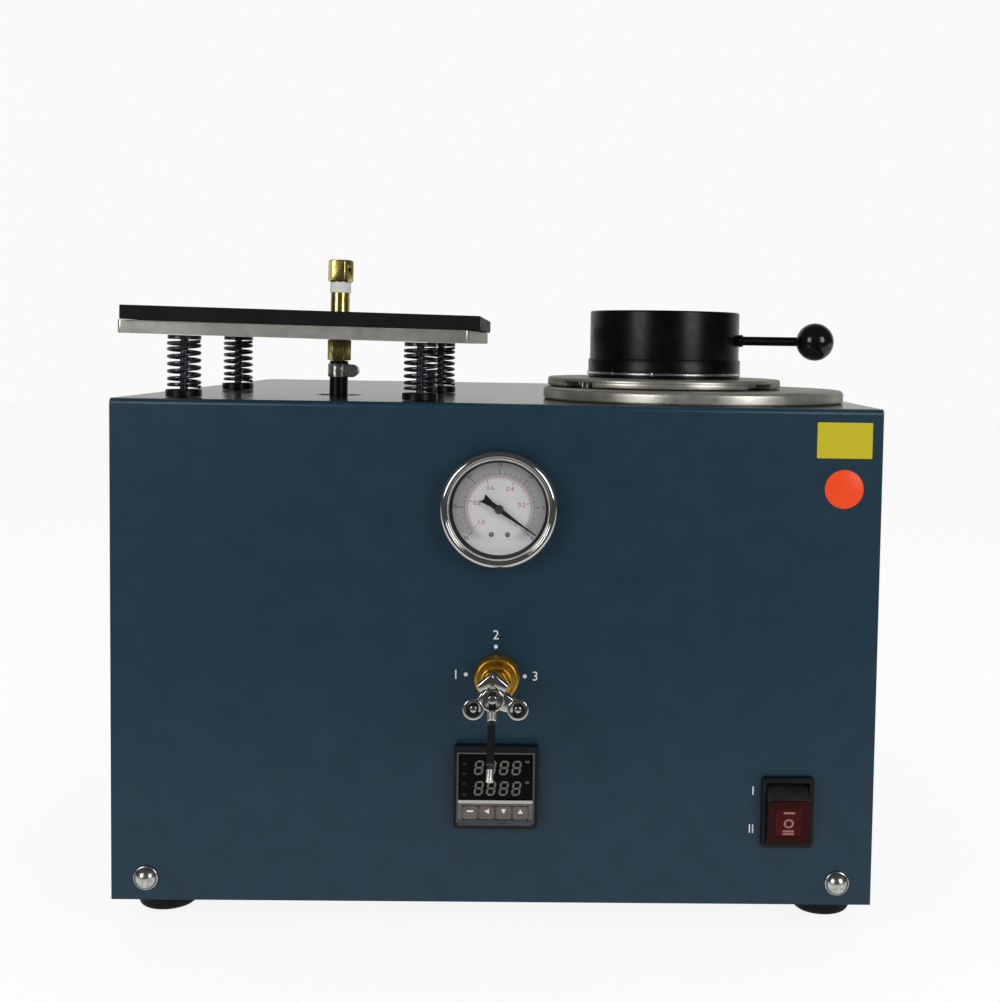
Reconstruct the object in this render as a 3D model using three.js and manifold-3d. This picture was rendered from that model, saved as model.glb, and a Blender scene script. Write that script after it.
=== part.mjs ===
// Bench-top vacuum investing, casting and gold melting machine.
// Millimetres, +Z up. X runs to the right seen from the front, Y runs from the front to the rear.
// The origin is on the floor, under the middle of the whole machine.

import * as THREE from 'three';
import { mergeVertices } from 'three/addons/utils/BufferGeometryUtils.js';
import Module from 'manifold-3d';

const wasm = await Module();
wasm.setup();

// Driving dimensions

const seat = 0.3; // gap left between a piece and what it rests on or fits into
const overrun = 2; // how far a cutting solid runs past the face that it cuts

const cabinet = { width: 440, depth: 440, height: 289.5, sheet: 1.5, bend: 3, lip: 5, corner: 5 };
const deck = { sheet: 1.5, hoseHole: 15, rodPlay: 2, canPlay: 1.5 };
const base = { sheet: 2, apron: 26 };
const foot = { height: 18, radius: 17.2, tread: 15.2, round: 3.5, rim: 1.5, recess: 6, recessDepth: 5 };
const footing = { fromSide: 21, fromFront: 44 };
const louvre = { length: 60, slot: 5, pitch: 13, rows: 5, columns: 2, spread: 90, top: 225 };
const panelScrew = { fromSide: 20, up: 13, washer: 7, washerThick: 1.4, head: 5.6, dome: 4.2, shank: 2.5,
  length: 9 };

const column = { x: 1 }; // the gauge, the valve and the controller stand in one column
const gauge = { z: 230, radius: 33.3, mouth: 28, caseRadius: 30.6, wall: 1.6, behind: 26, stand: 12.6,
  flange: 3.4, lens: 1.6, lensUp: 8.4, dial: 0.9, dialUp: 3.4, ledge: 2.4, crimp: 1.8,
  stem: 6.5, stemLength: 14, stemBore: 2.5 };
const pointer = { tip: 25.5, tail: 12.5, neck: 0.7, tailWidth: 4.6, thick: 0.7, up: 6.2, hub: 2.6,
  pin: 1.1, pinPlay: 0.5, restAngle: -35, flareShare: 0.45, notchShare: 0.92 };

const valve = { z: 133.5, bonnet: 12.85, bonnetLength: 13, shoulder: 9.4, shoulderLength: 5, neck: 9.2,
  body: 13, bodyLength: 44, portDeep: 27.5, gland: 7.6, glandLength: 8, glandChamfer: 1, spindle: 3.6,
  hubFrom: 47 };
const handle = { hub: 6.4, hubLength: 12, eye: 3.4, eyeGroove: 1.4, eyeDepth: 2.2, roof: 14.8,
  roofHalf: 8.6, roofDrop: 7.2, roofThick: 7, roofStep: 1, arm: 3.6, earX: 11.7, earDrop: 5, ear: 5.5,
  earLength: 11, earScrew: 2.4, earGroove: 1.5, cornerShare: 0.9 };
const lever = { leanAngle: 33, start: 7.2, stub: 2.5, stubLength: 5, neck: 1.5, neckLength: 2.6, rod: 2.1,
  rodLength: 21, collar: 1.6, collarLength: 1.6, tip: 1.9, tipLength: 7.6, forward: 3 };

const controller = { z: 69.8, face: 48, corner: 1.6, stand: 7, body: 44.4, bodyLength: 68,
  recess: 0.9 };
const display = { width: 41, height: 27, up: 6.6, thick: 1.4 };
const key = { count: 4, pitch: 9.6, width: 8.8, height: 7.6, down: 14.6, thick: 3.4, stand: 0.5, travel: 0.6,
  play: 0.3, corner: 1.2 };

const rocker = { fromRight: 50.2, z: 55.4, frameWidth: 30.4, frameHeight: 41.6, frameCorner: 2.6, stand: 3,
  wellWidth: 25.2, wellHeight: 35, bodyWidth: 28, bodyHeight: 38, bodyLength: 26, floor: 2,
  play: 0.4, pivotDeep: 10, proud: 9.5, dip: 0.8, shoulder: 2.5, toe: 8, toeShare: 0.5, throwAngle: 24 };

const table = { fromLeft: 103.5, depth: 99, stand: 35.35, side: 198, thick: 7.5, leanAngle: 0.85, corner: 2 };
const pad = { side: 202, thick: 8, shiftX: 1.8, turnAngle: 1.3, corner: 2 };
const spring = { spread: 69, radius: 9.8, wire: 2, turns: 7, endTurns: 1, endPitch: 2.6, steps: 8,
  sides: 5 };
const cup = { radius: 10.4, height: 4.4, floor: 1.8, wall: 0.9 };
const rod = { radius: 2.3, seatRadius: 9.6, seatThick: 2.4, play: 1.4, below: 12, nut: 6.5, nutThick: 4.5 };

const stem = { shiftX: 10.3, shiftY: 1, radius: 6, bore: 3.6, tubeTop: 44, tubeBottom: -5, play: 0.3,
  threadRadius: 6.5, threadFrom: 29.4, threadTo: 36 };
const cap = { flats: 14.2, from: 36.3, top: 50, chamfer: 1, bore: 6.9, boreTo: 46, hole: 1.3,
  holeUp: 44, turnAngle: 12 };
const fitting = { flats: 13.1, length: 13.2, socketTo: 5.6, barb: 3.7, barbBore: 2.2, barbLength: 14,
  chamfer: 0.8 };
const hose = { radius: 5.75, bore: 4.1, below: 22 };
const clamp = { down: 15.4, band: 8.3, thick: 0.7, housingX: 9.1, housingWide: 5.4, housingTall: 7,
  housingDeep: 11, screw: 4.1, screwHead: 3 };

const flange = { x: 119, depth: 101, radius: 95.3, thick: 7.6, round: 2.6, foot: 1, mouth: 38,
  gasketLand: 44, gasketDeep: 3 };
const can = { radius: 42.6, wall: 2, depth: 116, outlet: 6, outletBore: 4, outletLength: 14,
  outletUp: 20 };
const swivel = { x: 100.5, radius: 74, thick: 5.4, gap: 0.8, round: 1.7, pivotBack: 62, studRadius: 1.4,
  studReach: 66, studPitch: 4.2, notchWide: 24, notchDeep: 12, notchTall: 3.2 };
const studAngles = [220, 100, 340];
const notchAngles = [41, 139, 221, 319];
const pivot = { shank: 4.6, play: 0.35, head: 7.5, headThick: 3.6, socketFloor: 2, slot: 1.4,
  slotDeep: 1.2 };
const pot = { radius: 47.4, height: 41.5, band: 1, bandHeight: 11.6, wall: 2.2, floor: 2.4, lip: 6.4,
  lipThick: 1.4, round: 1.2, seamUp: 1.7, seamSlot: 1.5 };
const seam = { proud: 1.4, thick: 0.9 };
const lining = { wall: 15, floor: 5, below: 1 };
const heater = { wall: 3, below: 2.2 };
const crucible = { wall: 4.2, taper: 3, floor: 5, rim: 2.6, rimWide: 2.6, dish: 5, below: 0.7, play: 0.7 };
const grip = { up: 23.9, angle: -18, boss: 3.8, bossLength: 3, rod: 2.8, reach: 96, ball: 11.6,
  into: 6, play: 0.3 };

const pump = { fromLeft: 125, depth: 300, motor: 52, motorLength: 128, saddleLength: 76, fins: 3, fin: 4,
  finGap: 28, headWide: 84, headDeep: 96, headTall: 118, rail: 12, railTall: 8, railSpread: 34,
  shaftUp: 66, corner: 5, port: 7, portLength: 20 };
const transformer = { x: 120, depth: 320, wide: 92, deep: 58, tall: 78, coilWide: 46, coilOut: 17,
  coilTall: 50, foot: 10, footTall: 3, round: 8 };
const inlet = { fromLeft: 55, z: 52, plateWide: 48, plateTall: 24, plateThick: 2.4, wellWide: 25,
  wellTall: 17, wellDeep: 15, wall: 1.8, chamfer: 5, pinWide: 2, pinTall: 4, pinSpread: 7, pinDrop: 2,
  pinReach: 10 };

// Facet counts for round pieces
const fine = 36;
const round = 24;
const small = 14;
const tiny = 8;
const hexSides = 6;
const arcSteps = 3;
const bendSteps = 6;

// Finishes

function finish(color, roughness, metalness) {
  return new THREE.MeshStandardMaterial({ color, roughness, metalness });
}


const bluePaint = finish(0x2a4353, 0.55, 0.1);
const stainless = finish(0xa9a8a0, 0.3, 1);
const zincSteel = finish(0x9a9a94, 0.45, 1);
const aluminium = finish(0x9c9b91, 0.35, 1);
const chrome = finish(0xd6d6d2, 0.12, 1);
const brass = finish(0xb08a2c, 0.28, 1);
const amberBrass = finish(0xa87416, 0.3, 1);
const blackRubber = finish(0x101110, 0.8, 0);
const blackSteel = finish(0x17181a, 0.4, 0.6);
const blackPlastic = finish(0x111214, 0.5, 0);
const glossBlack = finish(0x08090a, 0.12, 0);
const greyKeys = finish(0x6a6461, 0.6, 0);
const redPlastic = finish(0x6e1c1c, 0.3, 0);
const dialWhite = finish(0xe6e7e8, 0.6, 0);
const clearGlass = finish(0xdfe8ea, 0.05, 0);
const silicone = finish(0xb4572e, 0.7, 0);
const refractory = finish(0xd9d2c4, 0.95, 0);
const ceramic = finish(0xbfb4a2, 0.9, 0);
const graphite = finish(0x2b2b2d, 0.6, 0.2);
const castGrey = finish(0x6b7074, 0.6, 0.5);
const copperWound = finish(0x7a4a2a, 0.5, 0.6);

// Solids

const degrees = THREE.MathUtils.degToRad;

function signedVolume(geometry) {
  const at = geometry.attributes.position;
  const index = geometry.index.array;
  const a = new THREE.Vector3();
  const b = new THREE.Vector3();
  const c = new THREE.Vector3();
  let sum = 0;
  for (let i = 0; i < index.length; i += 3) {
    a.fromBufferAttribute(at, index[i]);
    b.fromBufferAttribute(at, index[i + 1]);
    c.fromBufferAttribute(at, index[i + 2]);
    sum += a.dot(b.cross(c));
  }
  return sum / 6;
}

// Merges shared corners, drops faces that have collapsed and turns the faces outwards.
function closed(geometry) {
  const plain = geometry.clone();
  plain.deleteAttribute('normal');
  plain.deleteAttribute('uv');
  const merged = mergeVertices(plain);
  const kept = [];
  const index = merged.index.array;
  for (let i = 0; i < index.length; i += 3) {
    const [a, b, c] = [index[i], index[i + 1], index[i + 2]];
    if (a !== b && b !== c && c !== a) kept.push(a, b, c);
  }
  merged.setIndex(kept);
  if (signedVolume(merged) < 0) merged.setIndex(kept.reverse());
  return merged;
}

function toSolid(geometry) {
  const mesh = new wasm.Mesh({
    numProp: 3,
    vertProperties: new Float32Array(geometry.attributes.position.array),
    triVerts: new Uint32Array(geometry.index.array),
  });
  return new wasm.Manifold(mesh);
}

function fromSolid(solid) {
  const mesh = solid.getMesh();
  const geometry = new THREE.BufferGeometry();
  geometry.setAttribute('position', new THREE.BufferAttribute(new Float32Array(mesh.vertProperties), 3));
  geometry.setIndex(new THREE.BufferAttribute(new Uint32Array(mesh.triVerts), 1));
  return geometry;
}

const cut = (body, ...tools) =>
  fromSolid(tools.reduce((solid, tool) => solid.subtract(toSolid(tool)), toSolid(body)));

const join = (body, ...others) =>
  fromSolid(others.reduce((solid, other) => solid.add(toSolid(other)), toSolid(body)));

const move = (geometry, x, y, z) => geometry.clone().translate(x, y, z);

// A profile of [radius, height] points turned about Z. A ring's profile comes back to its first point.
function turned(profile, steps) {
  const points = profile.map(([radius, height]) => new THREE.Vector2(radius, height));
  return closed(new THREE.LatheGeometry(points, steps).rotateX(Math.PI / 2));
}

const ring = (profile, steps) => turned([...profile, profile[0]], steps);

function disc(radius, from, to, steps) {
  return turned([[0, from], [radius, from], [radius, to], [0, to]], steps);
}

function tube(outer, inner, from, to, steps) {
  return ring([[inner, from], [outer, from], [outer, to], [inner, to]], steps);
}

// A quarter of a circle in a profile, from one angle to another in degrees.
function arc(centreRadius, centreHeight, radius, fromAngle, toAngle, steps = arcSteps) {
  const points = [];
  for (let i = 0; i <= steps; i += 1) {
    const angle = degrees(fromAngle + ((toAngle - fromAngle) * i) / steps);
    points.push([centreRadius + radius * Math.cos(angle), centreHeight + radius * Math.sin(angle)]);
  }
  return points;
}

function rectangle(width, height, corner = 0) {
  const [x, y] = [width / 2, height / 2];
  const shape = new THREE.Shape();
  shape.moveTo(-x + corner, -y);
  shape.lineTo(x - corner, -y);
  if (corner) shape.absarc(x - corner, -y + corner, corner, -Math.PI / 2, 0);
  shape.lineTo(x, y - corner);
  if (corner) shape.absarc(x - corner, y - corner, corner, 0, Math.PI / 2);
  shape.lineTo(-x + corner, y);
  if (corner) shape.absarc(-x + corner, y - corner, corner, Math.PI / 2, Math.PI);
  shape.lineTo(-x, -y + corner);
  if (corner) shape.absarc(-x + corner, -y + corner, corner, Math.PI, Math.PI * 1.5);
  return shape;
}

function extruded(shape, from, to, curveSegments = arcSteps) {
  const depth = to - from;
  return closed(new THREE.ExtrudeGeometry(shape, { depth, bevelEnabled: false, curveSegments })
    .translate(0, 0, from));
}

const block = (width, depth, from, to, corner = 0, steps = arcSteps) =>
  extruded(rectangle(width, depth, corner), from, to, steps);

function outline(points) {
  return new THREE.Shape(points.map(([x, y]) => new THREE.Vector2(x, y)));
}

// A side profile of [depth, height] points, run along X.
function folded(points, width) {
  const run = new THREE.ExtrudeGeometry(outline(points), { depth: width, bevelEnabled: false });
  run.translate(0, 0, -width / 2);
  run.applyMatrix4(new THREE.Matrix4().makeBasis(
    new THREE.Vector3(0, 1, 0), new THREE.Vector3(0, 0, 1), new THREE.Vector3(1, 0, 0)));
  return closed(run);
}

// A bar of six flats with chamfered ends, about Z.
function hexagon(flats, from, to, chamfer) {
  const corner = flats / 2 / Math.cos(Math.PI / hexSides);
  const bar = turned([[0, from], [corner, from], [corner, to], [0, to]], hexSides);
  const cone = turned([
    [0, from], [corner - chamfer, from], [corner, from + chamfer],
    [corner, to - chamfer], [corner - chamfer, to], [0, to],
  ], small);
  return fromSolid(toSolid(bar).intersect(toSolid(cone)));
}

// Assembly

const machine = new THREE.Group();

function group(parent, x = 0, y = 0, z = 0) {
  const child = new THREE.Group();
  child.position.set(x, y, z);
  parent.add(child);
  return child;
}

function add(parent, name, geometry, material, x = 0, y = 0, z = 0) {
  const mesh = new THREE.Mesh(geometry, material);
  mesh.name = name;
  mesh.position.set(x, y, z);
  parent.add(mesh);
  return mesh;
}

// A group on the front panel: its Z points at the person in front, its Y points up.
function onFront(x, z) {
  const face = group(body, x, 0, z);
  face.rotation.x = Math.PI / 2;
  return face;
}

const leverFrom = valve.hubFrom + handle.hubLength / 2 + lever.forward;
const leverEnd = lever.start + lever.stubLength + lever.neckLength + lever.rodLength + lever.collarLength
  + lever.tipLength;
const leverReach = leverFrom + (leverEnd - lever.tip / 2) * Math.sin(degrees(lever.leanAngle))
  + lever.tip * Math.cos(degrees(lever.leanAngle));
const rearReach = cabinet.depth + inlet.plateThick + seat;

// Places across the cabinet
const leftSide = -cabinet.width / 2;
const rightSide = cabinet.width / 2;
const rockerX = rightSide - rocker.fromRight;
const tableX = leftSide + table.fromLeft;
const pumpX = leftSide + pump.fromLeft;
const inletX = leftSide + inlet.fromLeft;

// The body group's origin is at the foot of the front face, on the cabinet's underside.
const body = group(machine, 0, (leverReach - rearReach) / 2, foot.height);
const deckTop = group(body, 0, 0, cabinet.height);

// Cabinet

const screwPlaces = [-1, 1].map((side) => [side * (cabinet.width / 2 - panelScrew.fromSide), panelScrew.up]);

function frontPanel() {
  const { height, sheet, bend, lip } = cabinet;
  const profile = [
    [0, 0], [sheet, 0],
    ...arc(bend, height - bend, bend - sheet, 180, 90, bendSteps),
    [lip, height - sheet], [lip, height],
    ...arc(bend, height - bend, bend, 90, 180, bendSteps),
  ];
  const hole = (x, z, tool) => tool.clone().rotateX(Math.PI / 2).translate(x, 0, z);
  const through = (radius) => disc(radius, -sheet - overrun, overrun, round);
  const window = (width, tall) => block(width + seat * 2, tall + seat * 2, -sheet - overrun, overrun);
  const screwHole = disc(panelScrew.shank + seat, -sheet - overrun, overrun, tiny);
  return cut(
    folded(profile, cabinet.width),
    hole(column.x, gauge.z, through(gauge.caseRadius + seat)),
    hole(column.x, valve.z, through(valve.neck + seat)),
    hole(column.x, controller.z, window(controller.body, controller.body)),
    hole(rockerX, rocker.z, window(rocker.bodyWidth, rocker.bodyHeight)),
    ...screwPlaces.map(([x, z]) => hole(x, z, screwHole)),
  );
}

function wrap() {
  const { width, depth, height, sheet, bend, corner } = cabinet;
  const from = bend + seat;
  const [outX, inX] = [width / 2, width / 2 - sheet];
  const plan = outline([
    [-outX, from],
    ...arc(-outX + corner, depth - corner, corner, 180, 90, bendSteps),
    ...arc(outX - corner, depth - corner, corner, 90, 0, bendSteps),
    [outX, from], [inX, from],
    ...arc(outX - corner, depth - corner, corner - sheet, 0, 90, bendSteps),
    ...arc(-outX + corner, depth - corner, corner - sheet, 90, 180, bendSteps),
    [-inX, from],
  ]);
  const tools = [];
  const [half, tall] = [louvre.length / 2, louvre.slot / 2];
  const flat = half - tall;
  const slot = extruded(outline([
    [-half, 0], [-flat, -tall], [flat, -tall], [half, 0], [flat, tall], [-flat, tall],
  ]), -overrun, sheet + overrun);
  const rearSlot = slot.clone().rotateX(Math.PI / 2).translate(0, depth, 0);
  const sideSlot = slot.clone().rotateX(Math.PI / 2).rotateZ(Math.PI / 2);
  for (let r = 0; r < louvre.rows; r += 1) {
    const z = louvre.top - r * louvre.pitch;
    for (let c = 0; c < louvre.columns; c += 1) {
      tools.push(move(rearSlot, (c - (louvre.columns - 1) / 2) * louvre.spread, 0, z));
    }
    tools.push(move(sideSlot, -outX, depth - louvre.spread, z));
    tools.push(move(sideSlot, outX - sheet, depth - louvre.spread, z));
  }
  const socket = block(inlet.wellWide + (inlet.wall + seat) * 2, inlet.wellTall + (inlet.wall + seat) * 2,
    -overrun, sheet + overrun).rotateX(Math.PI / 2).translate(inletX, depth, inlet.z);
  return cut(extruded(plan, 0, height - deck.sheet - seat), socket, ...tools);
}

const lean = degrees(table.leanAngle);
// Where a line square to the leaning table, from local x, meets the deck.
function footOf(x) {
  return x * Math.cos(lean) + ((x * Math.sin(lean) - table.stand) / Math.cos(lean)) * Math.sin(lean);
}

const corners = [[-1, -1, 'front_left'], [1, -1, 'front_right'], [-1, 1, 'rear_left'], [1, 1, 'rear_right']];

function topPlate() {
  const from = cabinet.lip + seat;
  const sheet = block(cabinet.width, cabinet.depth - from, -deck.sheet, 0);
  const hole = (x, y, radius, steps) => move(disc(radius, -deck.sheet - overrun, overrun, steps), x, y, 0);
  const rodHole = rod.radius + deck.rodPlay;
  return cut(
    move(sheet, 0, (cabinet.depth + from) / 2, 0),
    hole(flange.x, flange.depth, can.radius + deck.canPlay, round),
    hole(tableX + footOf(stem.shiftX), table.depth + stem.shiftY, deck.hoseHole, small),
    ...corners.map(([sx, sy]) => hole(tableX + footOf(sx * spring.spread),
      table.depth + sy * spring.spread, rodHole, tiny)),
  );
}

// A floor with an apron behind the front panel, which takes the panel's screws.
function basePlate() {
  const { sheet, apron } = base;
  const from = cabinet.sheet + seat;
  const to = cabinet.depth - cabinet.corner - seat;
  const profile = [
    [from, 0], [to, 0], [to, sheet], [from + sheet, sheet], [from + sheet, apron], [from, apron],
  ];
  const holes = screwPlaces.map(([x, z]) => disc(panelScrew.shank + seat, -overrun, sheet + overrun, tiny)
    .rotateX(Math.PI / 2).translate(x, from + sheet, z));
  return cut(folded(profile, cabinet.width - (cabinet.sheet + seat) * 2), ...holes);
}

function footShape() {
  const { height, radius, tread, round: edge, rim, recess, recessDepth } = foot;
  return turned([
    [0, recessDepth], [recess, recessDepth], [recess, 0], [tread - rim, 0],
    ...arc(radius - edge, edge, edge, -70, 0),
    [radius, height - rim - seat], [radius - rim, height - seat], [0, height - seat],
  ], small);
}

function panelScrewShape() {
  const { washer, washerThick, head, dome, shank, length } = panelScrew;
  const domeRadius = (head * head + dome * dome) / (dome * 2);
  const open = THREE.MathUtils.radToDeg(Math.asin(head / domeRadius));
  return turned([
    [0, -length], [shank, -length], [shank, seat], [washer, seat], [washer, washerThick], [head, washerThick],
    ...arc(0, washerThick + dome - domeRadius, domeRadius, 90 - open, 90, arcSteps + 2),
  ], small);
}

add(body, 'front_panel', frontPanel(), bluePaint);
add(body, 'cabinet_wrap', wrap(), bluePaint);
add(deckTop, 'top_plate', topPlate(), stainless);
add(body, 'base_plate', basePlate(), zincSteel);
for (const [sx, sy, place] of corners) {
  const x = sx * (cabinet.width / 2 - footing.fromSide);
  const y = sy < 0 ? footing.fromFront : cabinet.depth - footing.fromFront;
  add(body, `foot_${place}`, footShape(), blackRubber, x, y, -foot.height);
}
screwPlaces.forEach(([x, z], i) => {
  add(onFront(x, z), `panel_screw_${i ? 'right' : 'left'}`, panelScrewShape(), chrome);
});

// Vacuum gauge

const gaugeFace = onFront(column.x, gauge.z);

function gaugeCase() {
  const { radius, caseRadius, wall, behind, flange: rim, stem: neck, stemLength, stemBore, dial, dialUp,
    ledge } = gauge;
  const inner = caseRadius - wall;
  const floor = -behind + wall;
  const shelf = dialUp - seat - dial;
  return turned([
    [0, -behind], [stemBore, -behind], [stemBore, -behind - stemLength], [neck, -behind - stemLength],
    [neck, -behind], [caseRadius, -behind], [caseRadius, seat], [radius, seat], [radius, rim],
    [inner, rim], [inner, shelf], [inner - ledge, shelf], [inner - ledge, floor], [0, floor],
  ], round);
}

function gaugeBezel() {
  const { radius, mouth, stand, crimp, flange: rim, lensUp, lens } = gauge;
  const inner = radius - crimp;
  const lipUnder = lensUp + lens + seat;
  return ring([
    [inner, rim + seat], [radius, rim + seat], [radius, stand - crimp],
    ...arc(radius - crimp, stand - crimp, crimp, 0, 90),
    [mouth + crimp, stand - crimp / 3],
    [mouth, lipUnder + crimp / 3], [mouth, lipUnder], [inner, lipUnder],
  ], fine);
}

function gaugePointer() {
  const { tip, tail, neck, tailWidth, thick, up, hub, pin, flareShare, notchShare } = pointer;
  const arm = outline([
    [tip, -neck / 3], [tip, neck / 3], [hub, neck], [-tail * flareShare, neck],
    [-tail, tailWidth / 2], [-tail * notchShare, 0], [-tail, -tailWidth / 2],
    [-tail * flareShare, -neck], [hub, -neck],
  ]);
  return join(
    extruded(arm, up, up + thick),
    disc(hub, up - thick / 2, up + thick * 2, small),
    disc(pin, gauge.dialUp - gauge.dial * 2, up, tiny),
  );
}

const lensRadius = gauge.radius - gauge.crimp - seat;
const dialRadius = gauge.caseRadius - gauge.wall - seat;
add(gaugeFace, 'gauge_case', gaugeCase(), blackSteel);
add(gaugeFace, 'gauge_dial', tube(dialRadius, pointer.pin + pointer.pinPlay, gauge.dialUp - gauge.dial,
  gauge.dialUp, round), dialWhite);
const needle = add(gaugeFace, 'gauge_pointer', gaugePointer(), blackSteel);
needle.rotation.z = degrees(pointer.restAngle);
add(gaugeFace, 'gauge_lens', disc(lensRadius, gauge.lensUp, gauge.lensUp + gauge.lens, round), clearGlass);
add(gaugeFace, 'gauge_bezel', gaugeBezel(), chrome);

// Three-way valve

const valveFace = onFront(column.x, valve.z);

function valveBody() {
  const { bonnet, bonnetLength, shoulder, shoulderLength, neck, body: barrel, bodyLength, portDeep, gland,
    glandLength, glandChamfer, spindle, hubFrom } = valve;
  const behind = cabinet.sheet + seat;
  const step = bonnet - shoulder;
  const core = turned([
    [0, -bodyLength], [barrel, -bodyLength], [barrel, -behind], [neck, -behind], [neck, seat], [bonnet, seat],
    [bonnet, bonnetLength - step / 2],
    ...arc(bonnet - step / 2, bonnetLength - step / 2, step / 2, 0, 90),
    ...arc(shoulder, bonnetLength + shoulderLength - step, step / 2, 0, 90, 2),
    [spindle, bonnetLength + shoulderLength], [spindle, hubFrom - seat], [0, hubFrom - seat],
  ], round);
  const nut = hexagon(gland * 2, bonnetLength, bonnetLength + shoulderLength + glandLength, glandChamfer);
  const ports = disc(gland, -barrel * 2, barrel * 2, tiny).rotateY(Math.PI / 2).translate(0, 0, -portDeep);
  const portDown = disc(gland, 0, barrel * 2, tiny).rotateX(-Math.PI / 2).translate(0, 0, -portDeep);
  return join(core, nut, ports, portDown);
}

// A round eye with a sunk ring about its screw, along Z.
function eye(radius, screw, groove, deep, from, to) {
  return turned([
    [0, from], [radius, from], [radius, to], [screw + groove, to], [screw + groove, to - deep],
    [screw, to - deep], [screw, to - deep / 3], [0, to - deep / 3],
  ], small);
}

function valveHandle() {
  const { hub, hubLength, eye: screw, eyeGroove, eyeDepth, roof, roofHalf, roofDrop, roofThick, roofStep, arm,
    earX, earDrop, ear, earLength, earScrew, earGroove, cornerShare } = handle;
  const from = valve.hubFrom;
  const front = from + hubLength;
  const gable = outline([
    [0, roof], [roofHalf, roof - roofDrop], [roofHalf - arm / 2, roof - roofDrop - arm],
    [0, roof - roofDrop], [-roofHalf + arm / 2, roof - roofDrop - arm], [-roofHalf, roof - roofDrop],
  ]);
  const ridgeFoot = screw + eyeGroove + seat;
  const ridge = outline([[0, roof - roofStep], [arm / 2, ridgeFoot], [-arm / 2, ridgeFoot]]);
  const wing = (side) => outline([
    [side * arm / 2, hub - arm / 3], [side * hub, arm],
    [side * (earX - ear / 3), -earDrop + ear * cornerShare], [side * (earX - ear / 2), -earDrop - ear / 2],
    [side * (hub - arm / 3), -earDrop - arm / 3], [side * arm / 2, -hub + arm / 3],
  ]);
  const earFrom = front - earLength;
  const earEye = eye(ear, earScrew, earGroove, eyeDepth, earFrom, front);
  const earAt = (side) => move(earEye, side * earX, -earDrop, 0);
  return join(
    eye(hub, screw, eyeGroove, eyeDepth, from, front),
    extruded(gable, front - roofThick, front - roofStep),
    extruded(ridge, from + arm, front - roofStep / 2),
    extruded(wing(1), earFrom + arm / 2, front - arm / 2),
    extruded(wing(-1), earFrom + arm / 2, front - arm / 2),
    earAt(1),
    earAt(-1),
  );
}

function valveLever() {
  const { start, stub, stubLength, neck, neckLength, rod: shaft, rodLength, collar, collarLength,
    tip } = lever;
  const a = start + stubLength;
  const b = a + neckLength;
  const c = b + rodLength;
  const d = c + collarLength;
  return turned([
    [0, start], [stub, start], [stub, a], [neck, a], [neck, b], [shaft, b], [shaft, c], [collar, c],
    [collar, d], [tip, d], [tip, leverEnd - tip / 2], [tip / 2, leverEnd], [0, leverEnd],
  ], tiny);
}

add(valveFace, 'valve_body', valveBody(), amberBrass);
add(valveFace, 'valve_handle', valveHandle(), chrome);
const leverMesh = add(valveFace, 'valve_lever', valveLever(), chrome, 0, 0, leverFrom);
leverMesh.rotation.x = Math.PI / 2 - degrees(lever.leanAngle);

// Temperature controller

const controllerFace = onFront(column.x, controller.z);
const keyPlaces = Array.from({ length: key.count }, (_, i) => (i - (key.count - 1) / 2) * key.pitch);
const keyNames = ['set', 'shift', 'down', 'up'];

function controllerBody() {
  const { face, corner, stand, body: inside, bodyLength, recess } = controller;
  const pocketFloor = stand - key.thick - key.travel - key.play;
  return cut(
    join(
      block(face, face, seat, stand, corner),
      block(inside, inside, -bodyLength, stand / 2),
    ),
    move(block(display.width + key.play * 2, display.height + key.play * 2, stand - display.thick - recess,
      stand + overrun), 0, display.up, 0),
    ...keyPlaces.map((x) => move(block(key.width + key.play * 2, key.height + key.play * 2, pocketFloor,
      stand + overrun, key.corner, 1), x, -key.down, 0)),
  );
}

add(controllerFace, 'controller_body', controllerBody(), blackPlastic);
const windowBack = controller.stand - controller.recess - display.thick + seat;
add(controllerFace, 'controller_window', block(display.width, display.height, windowBack,
  windowBack + display.thick), glossBlack, 0, display.up, 0);
keyPlaces.forEach((x, i) => {
  const keyTop = controller.stand + key.stand;
  const keyShape = block(key.width, key.height, keyTop - key.thick, keyTop, key.corner, 1);
  add(controllerFace, `key_${keyNames[i]}`, keyShape, greyKeys, x, -key.down, 0);
});

// Rocker switch

const rockerFace = onFront(rockerX, rocker.z);

function switchFrame() {
  const { frameWidth, frameHeight, frameCorner, stand, wellWidth, wellHeight, bodyWidth, bodyHeight,
    bodyLength, floor } = rocker;
  const crown = rectangle(frameWidth - stand, frameHeight - stand, frameCorner / 2);
  const rounded = new THREE.ExtrudeGeometry(crown, {
    depth: seat, bevelThickness: stand / 2, bevelSize: stand / 2, bevelSegments: 3, curveSegments: arcSteps,
  });
  const rim = closed(rounded.translate(0, 0, stand / 2 + seat));
  return cut(
    join(
      rim,
      block(frameWidth, frameHeight, seat, stand / 2 + seat, frameCorner),
      block(bodyWidth, bodyHeight, -bodyLength, stand / 2),
    ),
    block(wellWidth, wellHeight, -bodyLength + floor, stand * 2),
  );
}

// A tall block about its pivot. Each end stands upright in the well when that end is pressed in.
function rockerShape() {
  const { wellWidth, wellHeight, play, proud, dip, shoulder, toe, toeShare, pivotDeep, throwAngle } = rocker;
  const tilt = degrees(throwAngle / 2);
  const reach = wellHeight / 2 - play;
  const top = pivotDeep + proud;
  const endAt = (height) => (reach - height * Math.sin(tilt)) / Math.cos(tilt);
  const profile = [
    [-endAt(top), top], [0, top - dip], [endAt(top), top], [endAt(shoulder), shoulder],
    [reach * toeShare, -toe], [-reach * toeShare, -toe], [-endAt(shoulder), shoulder],
  ];
  return folded(profile, wellWidth - play * 2);
}

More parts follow.
